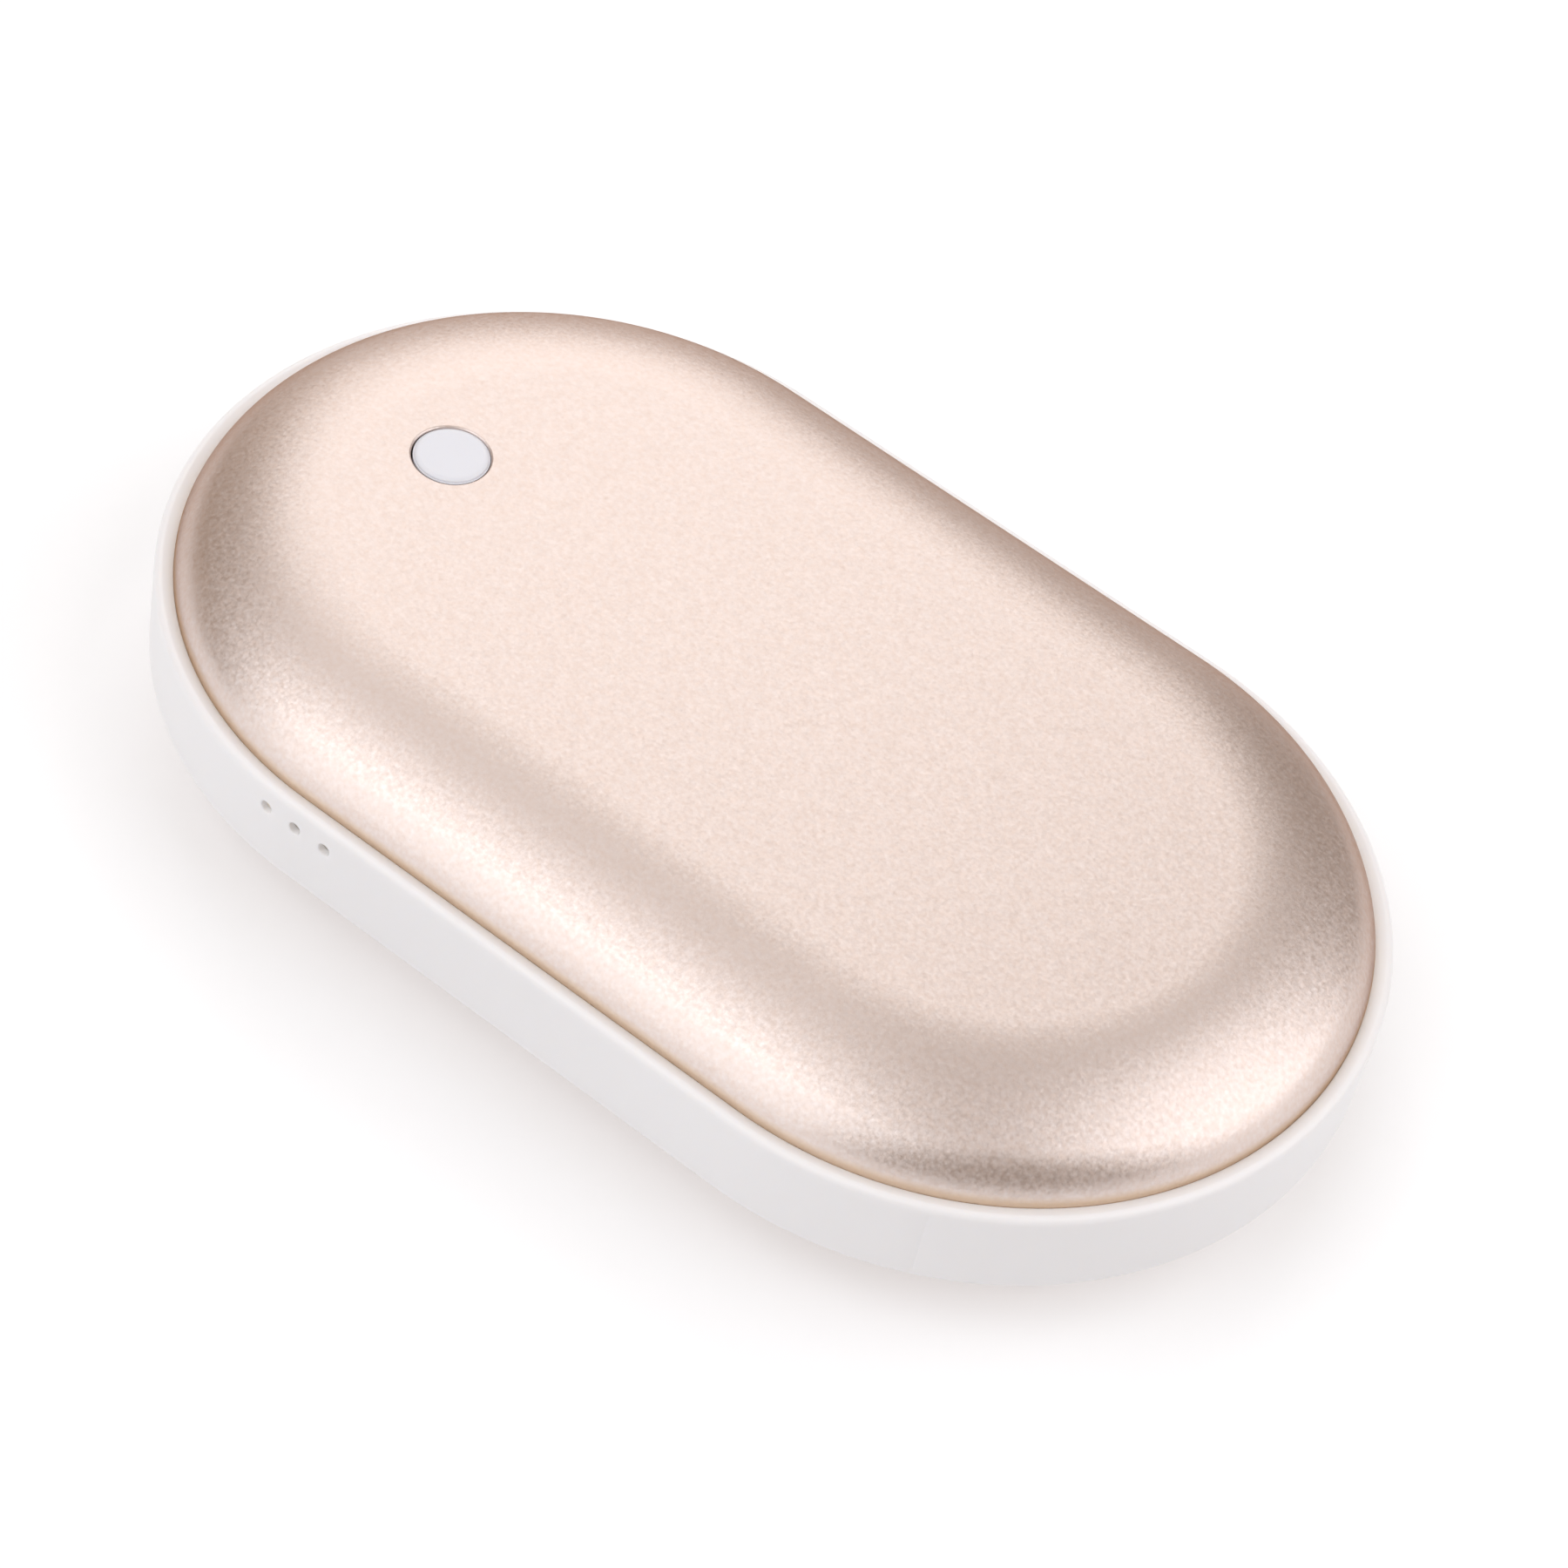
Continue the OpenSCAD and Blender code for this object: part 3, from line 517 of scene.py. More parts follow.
def cell(patches, hole, stations, z, inner_r):
    """One cell of the band's wall with a hole: face, rounded edge, passage and the wall behind.

    Matched rings run from the cell's edge to the hole's, round a quarter of an arc into the
    passage, through it, and out to the cell's edge on the wall behind.
    """
    column = 0 if hole.axis == "y" else 1
    into = np.array([0.0, 1.0, 0.0] if hole.axis == "y" else [1.0, 0.0, 0.0])
    place = {r: swept(stations, np.array([[r, 0.0]]))[0, :, column] for r in (BAND_R, inner_r)}
    p, height = cell_ring(place[BAND_R], z)
    if hole.is_circle:
        share_p, share_z = p - hole.p, height - hole.z
    else:
        numbers = np.arange(len(stations), dtype=float)
        share_p = np.interp(cell_ring(numbers, z)[0], numbers, PORT_SHARES)
        share_z = (height - z.mean()) / (z[-1] - z[0]) * 2
    hole_p, hole_z = hole.outline(share_p, share_z, hole.edge)
    rings = []
    for share in CELL_RINGS:
        ring_p, ring_z = p + (hole_p - p) * share, height + (hole_z - height) * share
        rings.append(hole.on_wall(ring_p, ring_z, BAND_R))
    for turn in np.linspace(0, math.pi / 2, ROUND_STEPS + 1):
        hole_p, hole_z = hole.outline(share_p, share_z, hole.edge * (1 - math.sin(turn)))
        depth = into * hole.edge * (1 - math.cos(turn))
        rings.append(hole.on_wall(hole_p, hole_z, BAND_R) + depth)
    if hole.seat:
        rings.append(hole.on_wall(hole_p, hole_z, BAND_R) + into * LIGHT_SEAT_DEPTH)
        hole_p, hole_z = hole.outline(share_p, share_z, hole.seat)
        depth = into * (LIGHT_SEAT_DEPTH + LIGHT_SEAT_STEP)
        rings.append(hole.on_wall(hole_p, hole_z, BAND_R) + depth)
    back = hole.on_wall(hole_p, hole_z, inner_r)
    rings += [rings[-1] + (back - rings[-1]) * 0.5, back]
    rings.append(hole.on_wall(*cell_ring(place[inner_r], z), inner_r))
    patches.grid(np.array(rings), close_cols=True)


def passage_collar(patches, hole, inner_r):
    """A thin collar that carries the output socket's passage from the band's wall to the socket.

    A seven-cornered section, a foot in the wall and a thin lip behind it, is carried round the
    passage. The lip thins out where the wall itself reaches the socket.
    """
    # Places along the outline: its own points, and more along each straight
    steps = ([1] * CORNER_STEPS + [COLLAR_SIDE_STEPS]) * 4
    places = np.concatenate([i + np.linspace(0, 1, n + 1)[:-1] for i, n in enumerate(steps)])

    def outline(grow):
        """The passage's outline, grown evenly, at these places."""
        box = rectangle(hole.half_p, hole.half_z)
        ring = rounded_section(box, hole.corner, grow)
        ring = np.vstack([ring, ring[:1]])
        at = np.arange(len(ring))
        return np.column_stack([np.interp(places, at, ring[:, i]) for i in (0, 1)])

    foot, lip = outline(COLLAR_FOOT), outline(-COLLAR_LIP)
    y = hole.p + foot[:, 0]
    wall = -HALF_RUN - np.sqrt(inner_r**2 - y**2)
    face = -HALF_RUN - np.sqrt(BAND_R**2 - y**2)
    end = np.full(len(y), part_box("usb_a_shell")[0].x - COLLAR_END_GAP)
    front = np.maximum(np.minimum(wall, end) - COLLAR_L, face + COLLAR_L)
    front = np.minimum(front, end - COLLAR_LEAST_L)
    least, most = COLLAR_STEP_MARGINS
    step = np.clip(wall - COLLAR_STEP_BACK, front + least, end - most)
    share = np.clip((end - front) / COLLAR_L, COLLAR_LEAST_SHARE, 1)
    bore, eased = (
        lip + (outline(-depth) - lip) * share[:, None] for depth in (COLLAR_BORE, COLLAR_EASED)
    )
    corners = [
        (front, foot), (step, foot), (step, lip), (end, lip),
        (end, bore), (front + COLLAR_EASE_L * share, bore), (front, eased),
    ]
    centre = np.array([hole.p, hole.z])
    section = [np.column_stack([x, centre + ring]) for x, ring in corners]
    patches.grid(np.array(section), close_rows=True, close_cols=True)


def band_edge(inner_r):
    """Profile (radius, height) of the band above its flat wall, from outside to inside.

    A quarter-round bead runs into the lip's slope, which rounds over into a small drop next to
    the shell's rim. The ledge for the shell lies below.
    """
    lip_r = RIM_R + LIP_GAP
    lip_z = RIM_Z - (BAND_R - BEAD_R - lip_r - LIP_ROUND) * math.tan(LIP_SLOPE)
    bead = (BAND_R - BEAD_R, RIM_Z - BEAD_R)
    lip = (lip_r + LIP_ROUND, lip_z - LIP_ROUND)
    rim_r = RIM_R + RIM_CLEARANCE
    return np.concatenate(
        [
            [[BAND_R, RIM_Z - EDGE_R]],
            arc(bead, BEAD_R, math.pi / 2, -LIP_SLOPE, BEAD_STEPS),
            arc(lip, LIP_ROUND, -LIP_SLOPE, -math.pi / 2, ROUND_STEPS),
            [[lip_r, lip_z - LIP_DEPTH], [rim_r, lip_z - LIP_DEPTH]],
            [[rim_r, SEAT_Z], [inner_r, SEAT_Z]],
        ]
    )


def light_holes():
    """The three light holes, and the X limits of their cells, half a pitch on each side."""
    guide_low, guide_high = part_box("light_guide")
    lamps_low, lamps_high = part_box("indicator_lights")
    middle = (guide_low.x + guide_high.x) / 2
    z = (lamps_low.z + lamps_high.z) / 2
    pitch = (lamps_high.x - lamps_low.x - LAMP_L) / 2
    seat = LIGHT_SEAT_R - LIGHT_MOUTH_R
    r = LIGHT_MOUTH_R
    holes = [Hole("y", middle + i * pitch, z, r, r, r, LIGHT_EDGE, seat) for i in (-1, 0, 1)]
    return holes, middle + pitch * np.array([-1.5, -0.5, 0.5, 1.5])


def band(material):
    """The white band: a profile carried round the stadium, with cells for the lights and ports.

    The profile is a flat outer wall, the edge above it, the same edge turned over below it, and
    a flat inner wall. A mould line is one column of the outer wall set back by its depth.
    """
    inner_r = RIM_R - (SHELL_T + FILM_T) * math.sin(RIM_SLOPE) - LEDGE_W
    wall_z = MID_Z + WALL_SHARES * (RIM_Z - EDGE_R - MID_Z)
    wall = np.column_stack([np.full(len(wall_z), BAND_R), wall_z])
    inner_wall = np.column_stack([np.full(len(wall_z), inner_r), wall_z])

    usb_hole = Hole("x", USB_PASSAGE_Y, MID_Z, *USB_PASSAGE_HALF, USB_PASSAGE_CORNER, PORT_EDGE)
    low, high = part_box("micro_usb_shell")
    inlet_hole = Hole(
        "x", (low.y + high.y) / 2, (low.z + high.z) / 2, *INLET_PASSAGE_HALF,
        INLET_PASSAGE_CORNER, PORT_EDGE,
    )
    # The ports' bend runs from the far side round to the lights, so its cells come with falling Y
    usb_cell = port_stations(USB_CELL_Y)[::-1]
    inlet_cell = port_stations(INLET_CELL_Y)[::-1]
    lights, light_edges = light_holes()
    light_cells = [
        stations_at_x(np.linspace(start, stop, LIGHT_CELL_STEPS + 1))
        for start, stop in zip(light_edges[:-1], light_edges[1:])
    ]

    far_bend, far_line = bend_with_line(1, -90, 90, MOULD_LINE_FAR, BEND_STEPS)
    near_bend, near_line = bend_with_line(
        -1, bearing(inlet_cell[-1]), bearing(light_cells[0][0]), MOULD_LINE_NEAR, NEAR_BEND_STEPS
    )
    between = bend(-1, bearing(usb_cell[-1]), bearing(inlet_cell[0]), BETWEEN_PORTS_STEPS)
    # Each run's stations, then its hole or the number of the station at its mould line
    runs = [
        (far_bend, None, far_line),
        (side(1, HALF_RUN, -HALF_RUN, SIDE_STEPS), None, None),
        (bend(-1, 90, bearing(usb_cell[0]), USB_BEND_STEPS), None, None),
        (usb_cell, usb_hole, None),
        (between, None, None),
        (inlet_cell, inlet_hole, None),
        (near_bend, None, near_line),
        *[(stations, hole, None) for stations, hole in zip(light_cells, lights)],
        (side(-1, light_edges[-1], HALF_RUN, SIDE_STEPS), None, None),
    ]
    patches = Patches()
    for stations, hole, line in runs:
        if hole:
            rising = stations[::-1] if hole.axis == "x" else stations
            cell(patches, hole, rising, wall_z, inner_r)
            continue
        face = swept(stations, wall)
        if line is not None:
            face[1:-1, line] -= np.append(stations[line, 1:], 0.0) * MOULD_LINE_DEPTH
        patches.grid(face)
        patches.grid(swept(stations, inner_wall))
    passage_collar(patches, usb_hole, inner_r)
    upper = swept(np.concatenate([stations[:-1] for stations, _, _ in runs]), band_edge(inner_r))
    patches.grid(upper, close_cols=True)
    patches.grid(turned_over(upper), close_cols=True)
    return patches.piece("band_moulding", material)


# The sockets


def socket_shell(patches, low, high, corners, corner_r, sheet, flare=0.0, flare_l=1.0 * MM):
    """A folded steel socket: an outline drawn back along X, open in front with a round edge.

    It is closed behind. The wall spreads towards the front by flare times the square of the
    share of flare_l that is left.
    """
    front, back = low[0], high[0]
    mid = np.array([(low[1] + high[1]) / 2, (low[2] + high[2]) / 2])
    mouth = np.linspace(front + flare_l, front + sheet / 2, MOUTH_STEPS + 1)
    x_outer = np.concatenate([[back, front + 2 * flare_l], mouth])
    lip = np.linspace(0, math.pi, FOLD_STEPS + 1)[1:-1]
    x_inner = np.append(x_outer[:0:-1], back - sheet)
    x = np.concatenate([x_outer, front + sheet / 2 * (1 - np.sin(lip)), x_inner])
    grow = np.concatenate([0 * x_outer, -sheet / 2 * (1 - np.cos(lip)), 0 * x_inner - sheet])
    spread = flare * np.clip(1 - (x - front) / flare_l, 0, 1) ** 2
    outlines = [mid + rounded_section(corners, corner_r, g) for g in grow + spread]
    rings = np.array([np.column_stack([np.full(len(o), at), o]) for at, o in zip(x, outlines)])
    patches.grid(rings, close_cols=True)
    patches.cap(rings[0])
    patches.cap(rings[-1])


def spring_leaf(patches, root, tip_x, inward, width, rise, sheet):
    """A leaf bent from a socket's wall, from its root to tip_x along X.

    Its depth is rise times the sine of the leaf's wave times pi times the share of its length,
    and its width falls evenly to its tip.
    """
    share = np.linspace(0, 1, LEAF_STEPS + 1)
    depth = rise * np.sin(LEAF_WAVE * math.pi * share) - LEAF_SINK * sheet
    x = root[0] + (tip_x - root[0]) * share
    inward = np.array(inward, dtype=float)
    across = np.array([-inward[1], inward[0]]) * width / 2
    narrow = (1 - LEAF_NARROWING * share)[:, None]
    edges = []
    for side_sign, deeper in ((-1, 0), (1, 0), (1, 1), (-1, 1)):
        lie = (depth + deeper * sheet)[:, None] * inward
        edges.append(np.column_stack([x, root[1:] + side_sign * narrow * across + lie]))
    leaf = np.stack(edges, axis=1)
    patches.grid(leaf, close_cols=True)
    patches.cap(leaf[0])
    patches.cap(leaf[-1])


def output_socket(material):
    """The output socket's steel shell: a rounded tube with spring leaves and board tabs.

    Two leaves are above, two below and one at each side. Each tab is a flat plate on the board.
    """
    low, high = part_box("usb_a_shell")
    mid_y, mid_z = (low.y + high.y) / 2, (low.z + high.z) / 2
    a, b, t = USB_W / 2, (high.z - low.z) / 2, USB_SHEET
    patches = Patches()
    box_low, box_high = (low.x, mid_y - a, low.z), (high.x, mid_y + a, high.z)
    socket_shell(patches, box_low, box_high, rectangle(a, b), USB_CORNER_R, t)
    root_x, tip_x = low.x + USB_LEAF_ROOT, low.x + USB_LEAF_TIP

    def leaf(y, z, inward, width, rise):
        """A leaf whose root is at (y, z)."""
        spring_leaf(patches, (root_x, y, z), tip_x, inward, width, rise, USB_LEAF_SHEET)

    for y in (-USB_LEAF_Y, USB_LEAF_Y):
        leaf(mid_y + y, mid_z + b - t, (0, -1), USB_LEAF_W, USB_UPPER_RISE)
        leaf(mid_y + y, mid_z - b + t, (0, 1), USB_LEAF_W, USB_LOWER_RISE)
    tab = rounded_section(rectangle(TAB_HALF_L, TAB_HALF_W), TAB_CORNER_R)
    board_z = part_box("circuit_board")[1].z
    for way in (-1, 1):
        side_z = mid_z - USB_SIDE_DROP
        leaf(mid_y + way * (a - t), side_z, (-way, 0), USB_SIDE_LEAF_W, USB_SIDE_RISE)
        plan = tab + [high.x - TAB_BACK, mid_y + way * (a + TAB_HALF_W)]
        layers = [np.column_stack([plan, np.full(len(plan), z)]) for z in (board_z, board_z + t)]
        patches.grid(np.array(layers), close_cols=True)
        patches.cap(layers[0])
        patches.cap(layers[1])
    return patches.piece("usb_a_steel_shell", material)


def charging_inlet(material):
    """The charging inlet's steel shell: a flat tube with its two lower corners cut off.

    Its mouth is flared, and two spring leaves rise from its floor.
    """
    low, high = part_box("micro_usb_shell")
    a, b, cut = (high.y - low.y) / 2, (high.z - low.z) / 2, INLET_CUT
    corners = [(cut - a, -b), (a - cut, -b), (a, cut - b), (a, b), (-a, b), (-a, cut - b)]
    patches = Patches()
    socket_shell(
        patches, low, high, corners, INLET_CORNER_R, INLET_SHEET, INLET_FLARE, INLET_FLARE_L
    )
    for y in (-INLET_LEAF_Y, INLET_LEAF_Y):
        root = (low.x + INLET_LEAF_ROOT, (low.y + high.y) / 2 + y, low.z + INLET_SHEET)
        tip_x = low.x + INLET_LEAF_TIP
        spring_leaf(
            patches, root, tip_x, (0, 1), INLET_LEAF_W, INLET_LEAF_RISE, INLET_LEAF_SHEET
        )
    return patches.piece("micro_usb_steel_shell", material)


# The button


def button(material):
    """The button: a crowned disc with a round edge, its retaining collar, its flange and its stem.

    The profile is turned about the cap's own axis. The crown drops by the square of the share of
    the radius, and the edge is a quarter of an ellipse.
    """
    top = BUTTON_HIGH.z
    head_foot = top - HEAD_T
    retainer_foot = head_foot - RETAINER_T
    flange_top = THICKNESS - SHELL_T - FILM_T - BRACKET_T - FLANGE_GAP
    flange_foot = flange_top - FLANGE_T
    crown_r = np.linspace(AXIS_R, HEAD_R - BUTTON_EDGE_W, CROWN_STEPS + 1)
    crown = np.column_stack([crown_r, top - BUTTON_CROWN * (crown_r / HEAD_R) ** 2])
    edge_centre = (HEAD_R - BUTTON_EDGE_W, crown[-1, 1] - BUTTON_EDGE_H)
    quarter = arc((0, 0), 1, 0, math.pi / 2, BEAD_STEPS)[1:]
    edge = quarter * (BUTTON_EDGE_W, BUTTON_EDGE_H) + edge_centre
    lower = np.array(
        [
            [HEAD_R, head_foot],
            [RETAINER_R, head_foot - RETAINER_LEAD],
            [RETAINER_R, retainer_foot],
            [BUTTON_R, retainer_foot - RETAINER_TAPER],
            [BUTTON_R, flange_top],
            [FLANGE_R, flange_top],
            [FLANGE_R, flange_foot],
            [STEM_R, flange_foot],
            [STEM_R, BUTTON_LOW.z],
            [AXIS_R, BUTTON_LOW.z],
        ]
    )
    profile = np.concatenate([crown, edge, lower])
    turned = lathe(profile, BUTTON_X + BUTTON_LEAN[0], BUTTON_LEAN[1])
    patches = Patches()
    patches.grid(turned, close_cols=True)
    patches.cap(turned[0])
    patches.cap(turned[-1])
    return patches.piece("button_disc", material, sharp=50)


# Materials


class Nodes:
    """A material's node tree, with short ways to add nodes and to join them."""

    def __init__(self, name):
        self.material = bpy.data.materials.new(name)
        self.material.use_nodes = True
        self.tree = self.material.node_tree

    def node(self, kind, **settings):
        """Adds a node with these settings."""
        made = self.tree.nodes.new(kind)
        for key, value in settings.items():
            setattr(made, key, value)
        return made

    def link(self, source, target):
        """Joins an output to an input."""
        self.tree.links.new(source, target)

    def math(self, operation, *terms):
        """Result of this operation on its terms, each a number or another node's output."""
        made = self.node("ShaderNodeMath", operation=operation)
        for place, term in enumerate(terms):
            if isinstance(term, (int, float)):
                made.inputs[place].default_value = term
            else:
                self.link(term, made.inputs[place])
        return made.outputs[0]

    def ramp(self, source, low, high, start, end):
        """Maps source from low..high to start..end, held at both ends."""
        made = self.node("ShaderNodeMapRange")
        names = ("From Min", "From Max", "To Min", "To Max")
        for key, value in zip(names, (low, high, start, end)):
            made.inputs[key].default_value = value
        self.link(source, made.inputs["Value"])
        return made.outputs["Result"]


class Paint(Nodes):
    """A Principled material whose varying parts come from noise on Object coordinates."""

    def __init__(self, name, **sockets):
        super().__init__(name)
        self.shader = self.tree.nodes["Principled BSDF"]
        for key, value in sockets.items():
            self.shader.inputs[key.replace("_", " ")].default_value = value
        self.place = self.node("ShaderNodeTexCoord").outputs["Object"]

    def noise(self, scale, detail, roughness, stretch=None, output="Fac"):
        """Noise with this many waves a metre, stretched along X, Y and Z if asked."""
        made = self.node("ShaderNodeTexNoise")
        made.inputs["Scale"].default_value = scale
        made.inputs["Detail"].default_value = detail
        made.inputs["Roughness"].default_value = roughness
        source = self.place
        if stretch:
            mapping = self.node("ShaderNodeMapping")
            mapping.inputs["Scale"].default_value = stretch
            self.link(source, mapping.inputs["Vector"])
            source = mapping.outputs["Vector"]
        self.link(source, made.inputs["Vector"])
        return made.outputs[output]

    def blend_colour(self, source, first, second):
        """Colour between first, a colour or another blend, and second, by source from 0 to 1."""
        made = self.node("ShaderNodeMix", data_type="RGBA")
        if isinstance(first, tuple):
            made.inputs["A"].default_value = (*first, 1)
        else:
            self.link(first, made.inputs["A"])
        made.inputs["B"].default_value = (*second, 1)
        self.link(source, made.inputs["Factor"])
        return made.outputs["Result"]

    def drive(self, source, socket):
        """Gives a socket of the shader its value at each point."""
        self.link(source, self.shader.inputs[socket])

    def facets(self, scale, tilt):
        """Leans the surface a little each way, as the tiny facets of a blasted face do.

        The normal is the surface's own plus noise from minus tilt to plus tilt on each axis.
        """
        lean = self.node("ShaderNodeVectorMath", operation="MULTIPLY_ADD")
        self.link(self.noise(scale, 2.0, 0.6, output="Color"), lean.inputs[0])
        lean.inputs[1].default_value = (2 * tilt, 2 * tilt, 2 * tilt)
        lean.inputs[2].default_value = (-tilt, -tilt, -tilt)
        total = self.node("ShaderNodeVectorMath", operation="ADD")
        self.link(self.node("ShaderNodeNewGeometry").outputs["Normal"], total.inputs[0])
        self.link(lean.outputs[0], total.inputs[1])
        unit = self.node("ShaderNodeVectorMath", operation="NORMALIZE")
        self.link(total.outputs[0], unit.inputs[0])
        self.drive(unit.outputs[0], "Normal")

    def bump(self, source, distance, strength):
        """Relief of this depth that follows source."""
        made = self.node("ShaderNodeBump")
        made.inputs["Distance"].default_value = distance
        made.inputs["Strength"].default_value = strength
        self.link(source, made.inputs["Height"])
        self.drive(made.outputs["Normal"], "Normal")


# Noise seldom leaves this span, so that ramps from it reach both their ends
NOISE_SPAN = (0.3, 0.7)

# The blasted grain of the champagne metal: waves a metre of its colour, its pits and its facets
GRAIN_WAVES = 2400
GRAIN_SPAN = (0.2, 0.8)
PIT_WAVES = 2900
PIT_STRETCH = (1, 1.07, 0.93)
FACET_WAVES = 3300
FACET_TILT = 0.11
# The grain's colours, its strength, and how it and the roughness fall off towards the flat
CHAMPAGNE_DARK = (0.745, 0.600, 0.517)
CHAMPAGNE_PALE = (0.855, 0.803, 0.798)
CHAMPAGNE_EDGE = (0.31, 0.16, 0.08, 1)
GRAIN_SWING = 0.2
GRAIN_ON_FLAT = 0.8
CHAMPAGNE_ROUGH = 0.415
ROUGH_SWING_SIDE = 0.05
ROUGH_SWING_FLAT = 0.022
# Heights from the middle at which the shell's side ends and its flat begins
SIDE_HEIGHT = 8.0 * MM
FLAT_HEIGHT = 9.6 * MM
# Painted shade next to the rim, darker and warmer, and the heights above the rim between which it
# fades out
RIM_PAINTED_SHADE = (0.80, 0.65, 0.51)
RIM_SHADE_FROM = 0.1 * MM
RIM_SHADE_TO = 0.65 * MM

# White plastic: waves a metre of its clouds and of its fine texture, how much duller a cloud is,
# the limits of its roughness, and how far light goes into it
CLOUD_WAVES = 60
CLOUD_SPAN = (0.35, 0.65)
TEXTURE_WAVES = 7000
CLOUD_DULLING = 0.985
PLASTIC_ROUGH = (0.28, 0.36)
PLASTIC_GLOW_DEPTH = 0.5 * MM


def sand_blasted_aluminium():
    """Champagne anodised aluminium with a fine blasted grain in colour, roughness and facets.

    The colour lies between two by noise, with painted shade, darker and warmer, next to the rim.
    The roughness is its mean plus noise. Both swing less on the flat than on the side.
    """
    paint = Paint("champagne_blasted_aluminium", Metallic=1.0, Specular_Tint=CHAMPAGNE_EDGE)
    grain = paint.noise(GRAIN_WAVES, 1.0, 0.5)
    pits = paint.noise(PIT_WAVES, 1.0, 0.5, PIT_STRETCH)
    parts = paint.node("ShaderNodeSeparateXYZ")
    paint.link(paint.place, parts.inputs["Vector"])
    height = paint.math("ABSOLUTE", paint.math("SUBTRACT", parts.outputs["Z"], MID_Z))

    spread = paint.ramp(height, SIDE_HEIGHT, FLAT_HEIGHT, 1.0, GRAIN_ON_FLAT)
    swing = paint.ramp(grain, *GRAIN_SPAN, -GRAIN_SWING, GRAIN_SWING)
    share = paint.math("MULTIPLY_ADD", swing, spread, 0.5)
    face = paint.blend_colour(share, CHAMPAGNE_DARK, CHAMPAGNE_PALE)
    # Painted shade: next to the rim the colour is blended towards a darker, warmer one
    rim = RIM_Z - MID_Z
    painted_rim_shade = paint.ramp(height, rim + RIM_SHADE_FROM, rim + RIM_SHADE_TO, 1, 0)
    paint.drive(paint.blend_colour(painted_rim_shade, face, RIM_PAINTED_SHADE), "Base Color")

    spread = paint.ramp(height, SIDE_HEIGHT, FLAT_HEIGHT, ROUGH_SWING_SIDE, ROUGH_SWING_FLAT)
    swing = paint.ramp(pits, *NOISE_SPAN, -1, 1)
    paint.drive(paint.math("MULTIPLY_ADD", swing, spread, CHAMPAGNE_ROUGH), "Roughness")
    paint.facets(FACET_WAVES, FACET_TILT)
    return paint.material


def white_plastic(name, base, depth):
    """Satin white moulded plastic, faintly clouded, with a fine spark-eroded texture."""
    paint = Paint(
        name, Subsurface_Weight=0.3, Subsurface_Radius=(1, 0.9, 0.8),
        Subsurface_Scale=PLASTIC_GLOW_DEPTH,
    )
    cloud = paint.ramp(paint.noise(CLOUD_WAVES, 2.0, 0.5), *CLOUD_SPAN, 0, 1)
    fine = paint.noise(TEXTURE_WAVES, 2.0, 0.6)
    dull = tuple(channel * CLOUD_DULLING for channel in base)
    paint.drive(paint.blend_colour(cloud, dull, base), "Base Color")
    paint.drive(paint.ramp(fine, *NOISE_SPAN, *PLASTIC_ROUGH), "Roughness")
    paint.bump(fine, depth, 0.4)
    return paint.material


def speckled(name, first, second, waves, rough, metal=0.0, depth=0.0, stretch=None):
    """General finish: two close colours mixed by noise, with roughness and slight relief."""
    paint = Paint(name, Metallic=metal)
    noise = paint.noise(waves, 3.0, 0.55, stretch)
    mixed = paint.blend_colour(paint.ramp(noise, *NOISE_SPAN, 0, 1), first, second)
    paint.drive(mixed, "Base Color")
    paint.drive(paint.ramp(noise, *NOISE_SPAN, rough * 0.85, rough * 1.15), "Roughness")
    if depth:
        paint.bump(noise, depth, 0.6)
    return paint.material


champagne = sand_blasted_aluminium()
band_white = white_plastic("band_white_plastic", (0.97, 0.975, 1.0), depth=0.004 * MM)
button_white = white_plastic("button_white_plastic", (0.82, 0.842, 0.908), depth=0.003 * MM)
guide_grey = speckled(
    "light_guide_frosted", (0.80, 0.71, 0.57), (0.88, 0.79, 0.65), waves=2500, rough=0.5
)
plated = speckled(
    "plated_steel", (0.55, 0.55, 0.56), (0.66, 0.66, 0.67),
    waves=900, rough=0.28, metal=1.0, depth=0.002 * MM, stretch=(0.1, 1, 1),
)
black = speckled(
    "black_plastic", (0.012, 0.012, 0.013), (0.02, 0.02, 0.022),
    waves=3000, rough=0.45, depth=0.003 * MM,
)
tongue_white = speckled(
    "tongue_white_plastic", (0.72, 0.72, 0.73), (0.78, 0.78, 0.79),
    waves=1500, rough=0.4, depth=0.003 * MM,
)
gold = speckled(
    "gold_flash", (0.78, 0.55, 0.2), (0.86, 0.63, 0.27), waves=2200, rough=0.22, metal=1.0
)
bracket = speckled(
    "bracket_plastic", (0.6, 0.6, 0.61), (0.68, 0.68, 0.69),
    waves=700, rough=0.5, depth=0.004 * MM,
)
bonding = speckled(
    "bonding_sheet", (0.66, 0.62, 0.5), (0.74, 0.7, 0.58), waves=1500, rough=0.6
)
film = speckled("heating_film", (0.5, 0.2, 0.04), (0.62, 0.28, 0.06), waves=500, rough=0.3)
foil = speckled(
    "cell_foil", (0.6, 0.61, 0.62), (0.7, 0.71, 0.72),
    waves=800, rough=0.35, metal=1.0, depth=0.01 * MM,
)
board_green = speckled(
    "solder_mask_green", (0.01, 0.11, 0.04), (0.02, 0.16, 0.07), waves=1200, rough=0.35
)
foam = speckled(
    "foam_grey", (0.03, 0.03, 0.035), (0.07, 0.07, 0.075), waves=3500, rough=0.9, depth=0.04 * MM
)
lamp = speckled("lamp_yellow", (0.7, 0.62, 0.25), (0.8, 0.73, 0.35), waves=3000, rough=0.3)
ivory = speckled("plunger_ivory", (0.66, 0.64, 0.56), (0.72, 0.7, 0.62), waves=1500, rough=0.4)
ferrite = speckled(
    "coil_ferrite", (0.02, 0.02, 0.022), (0.045, 0.045, 0.05),
    waves=2500, rough=0.6, depth=0.01 * MM,
)
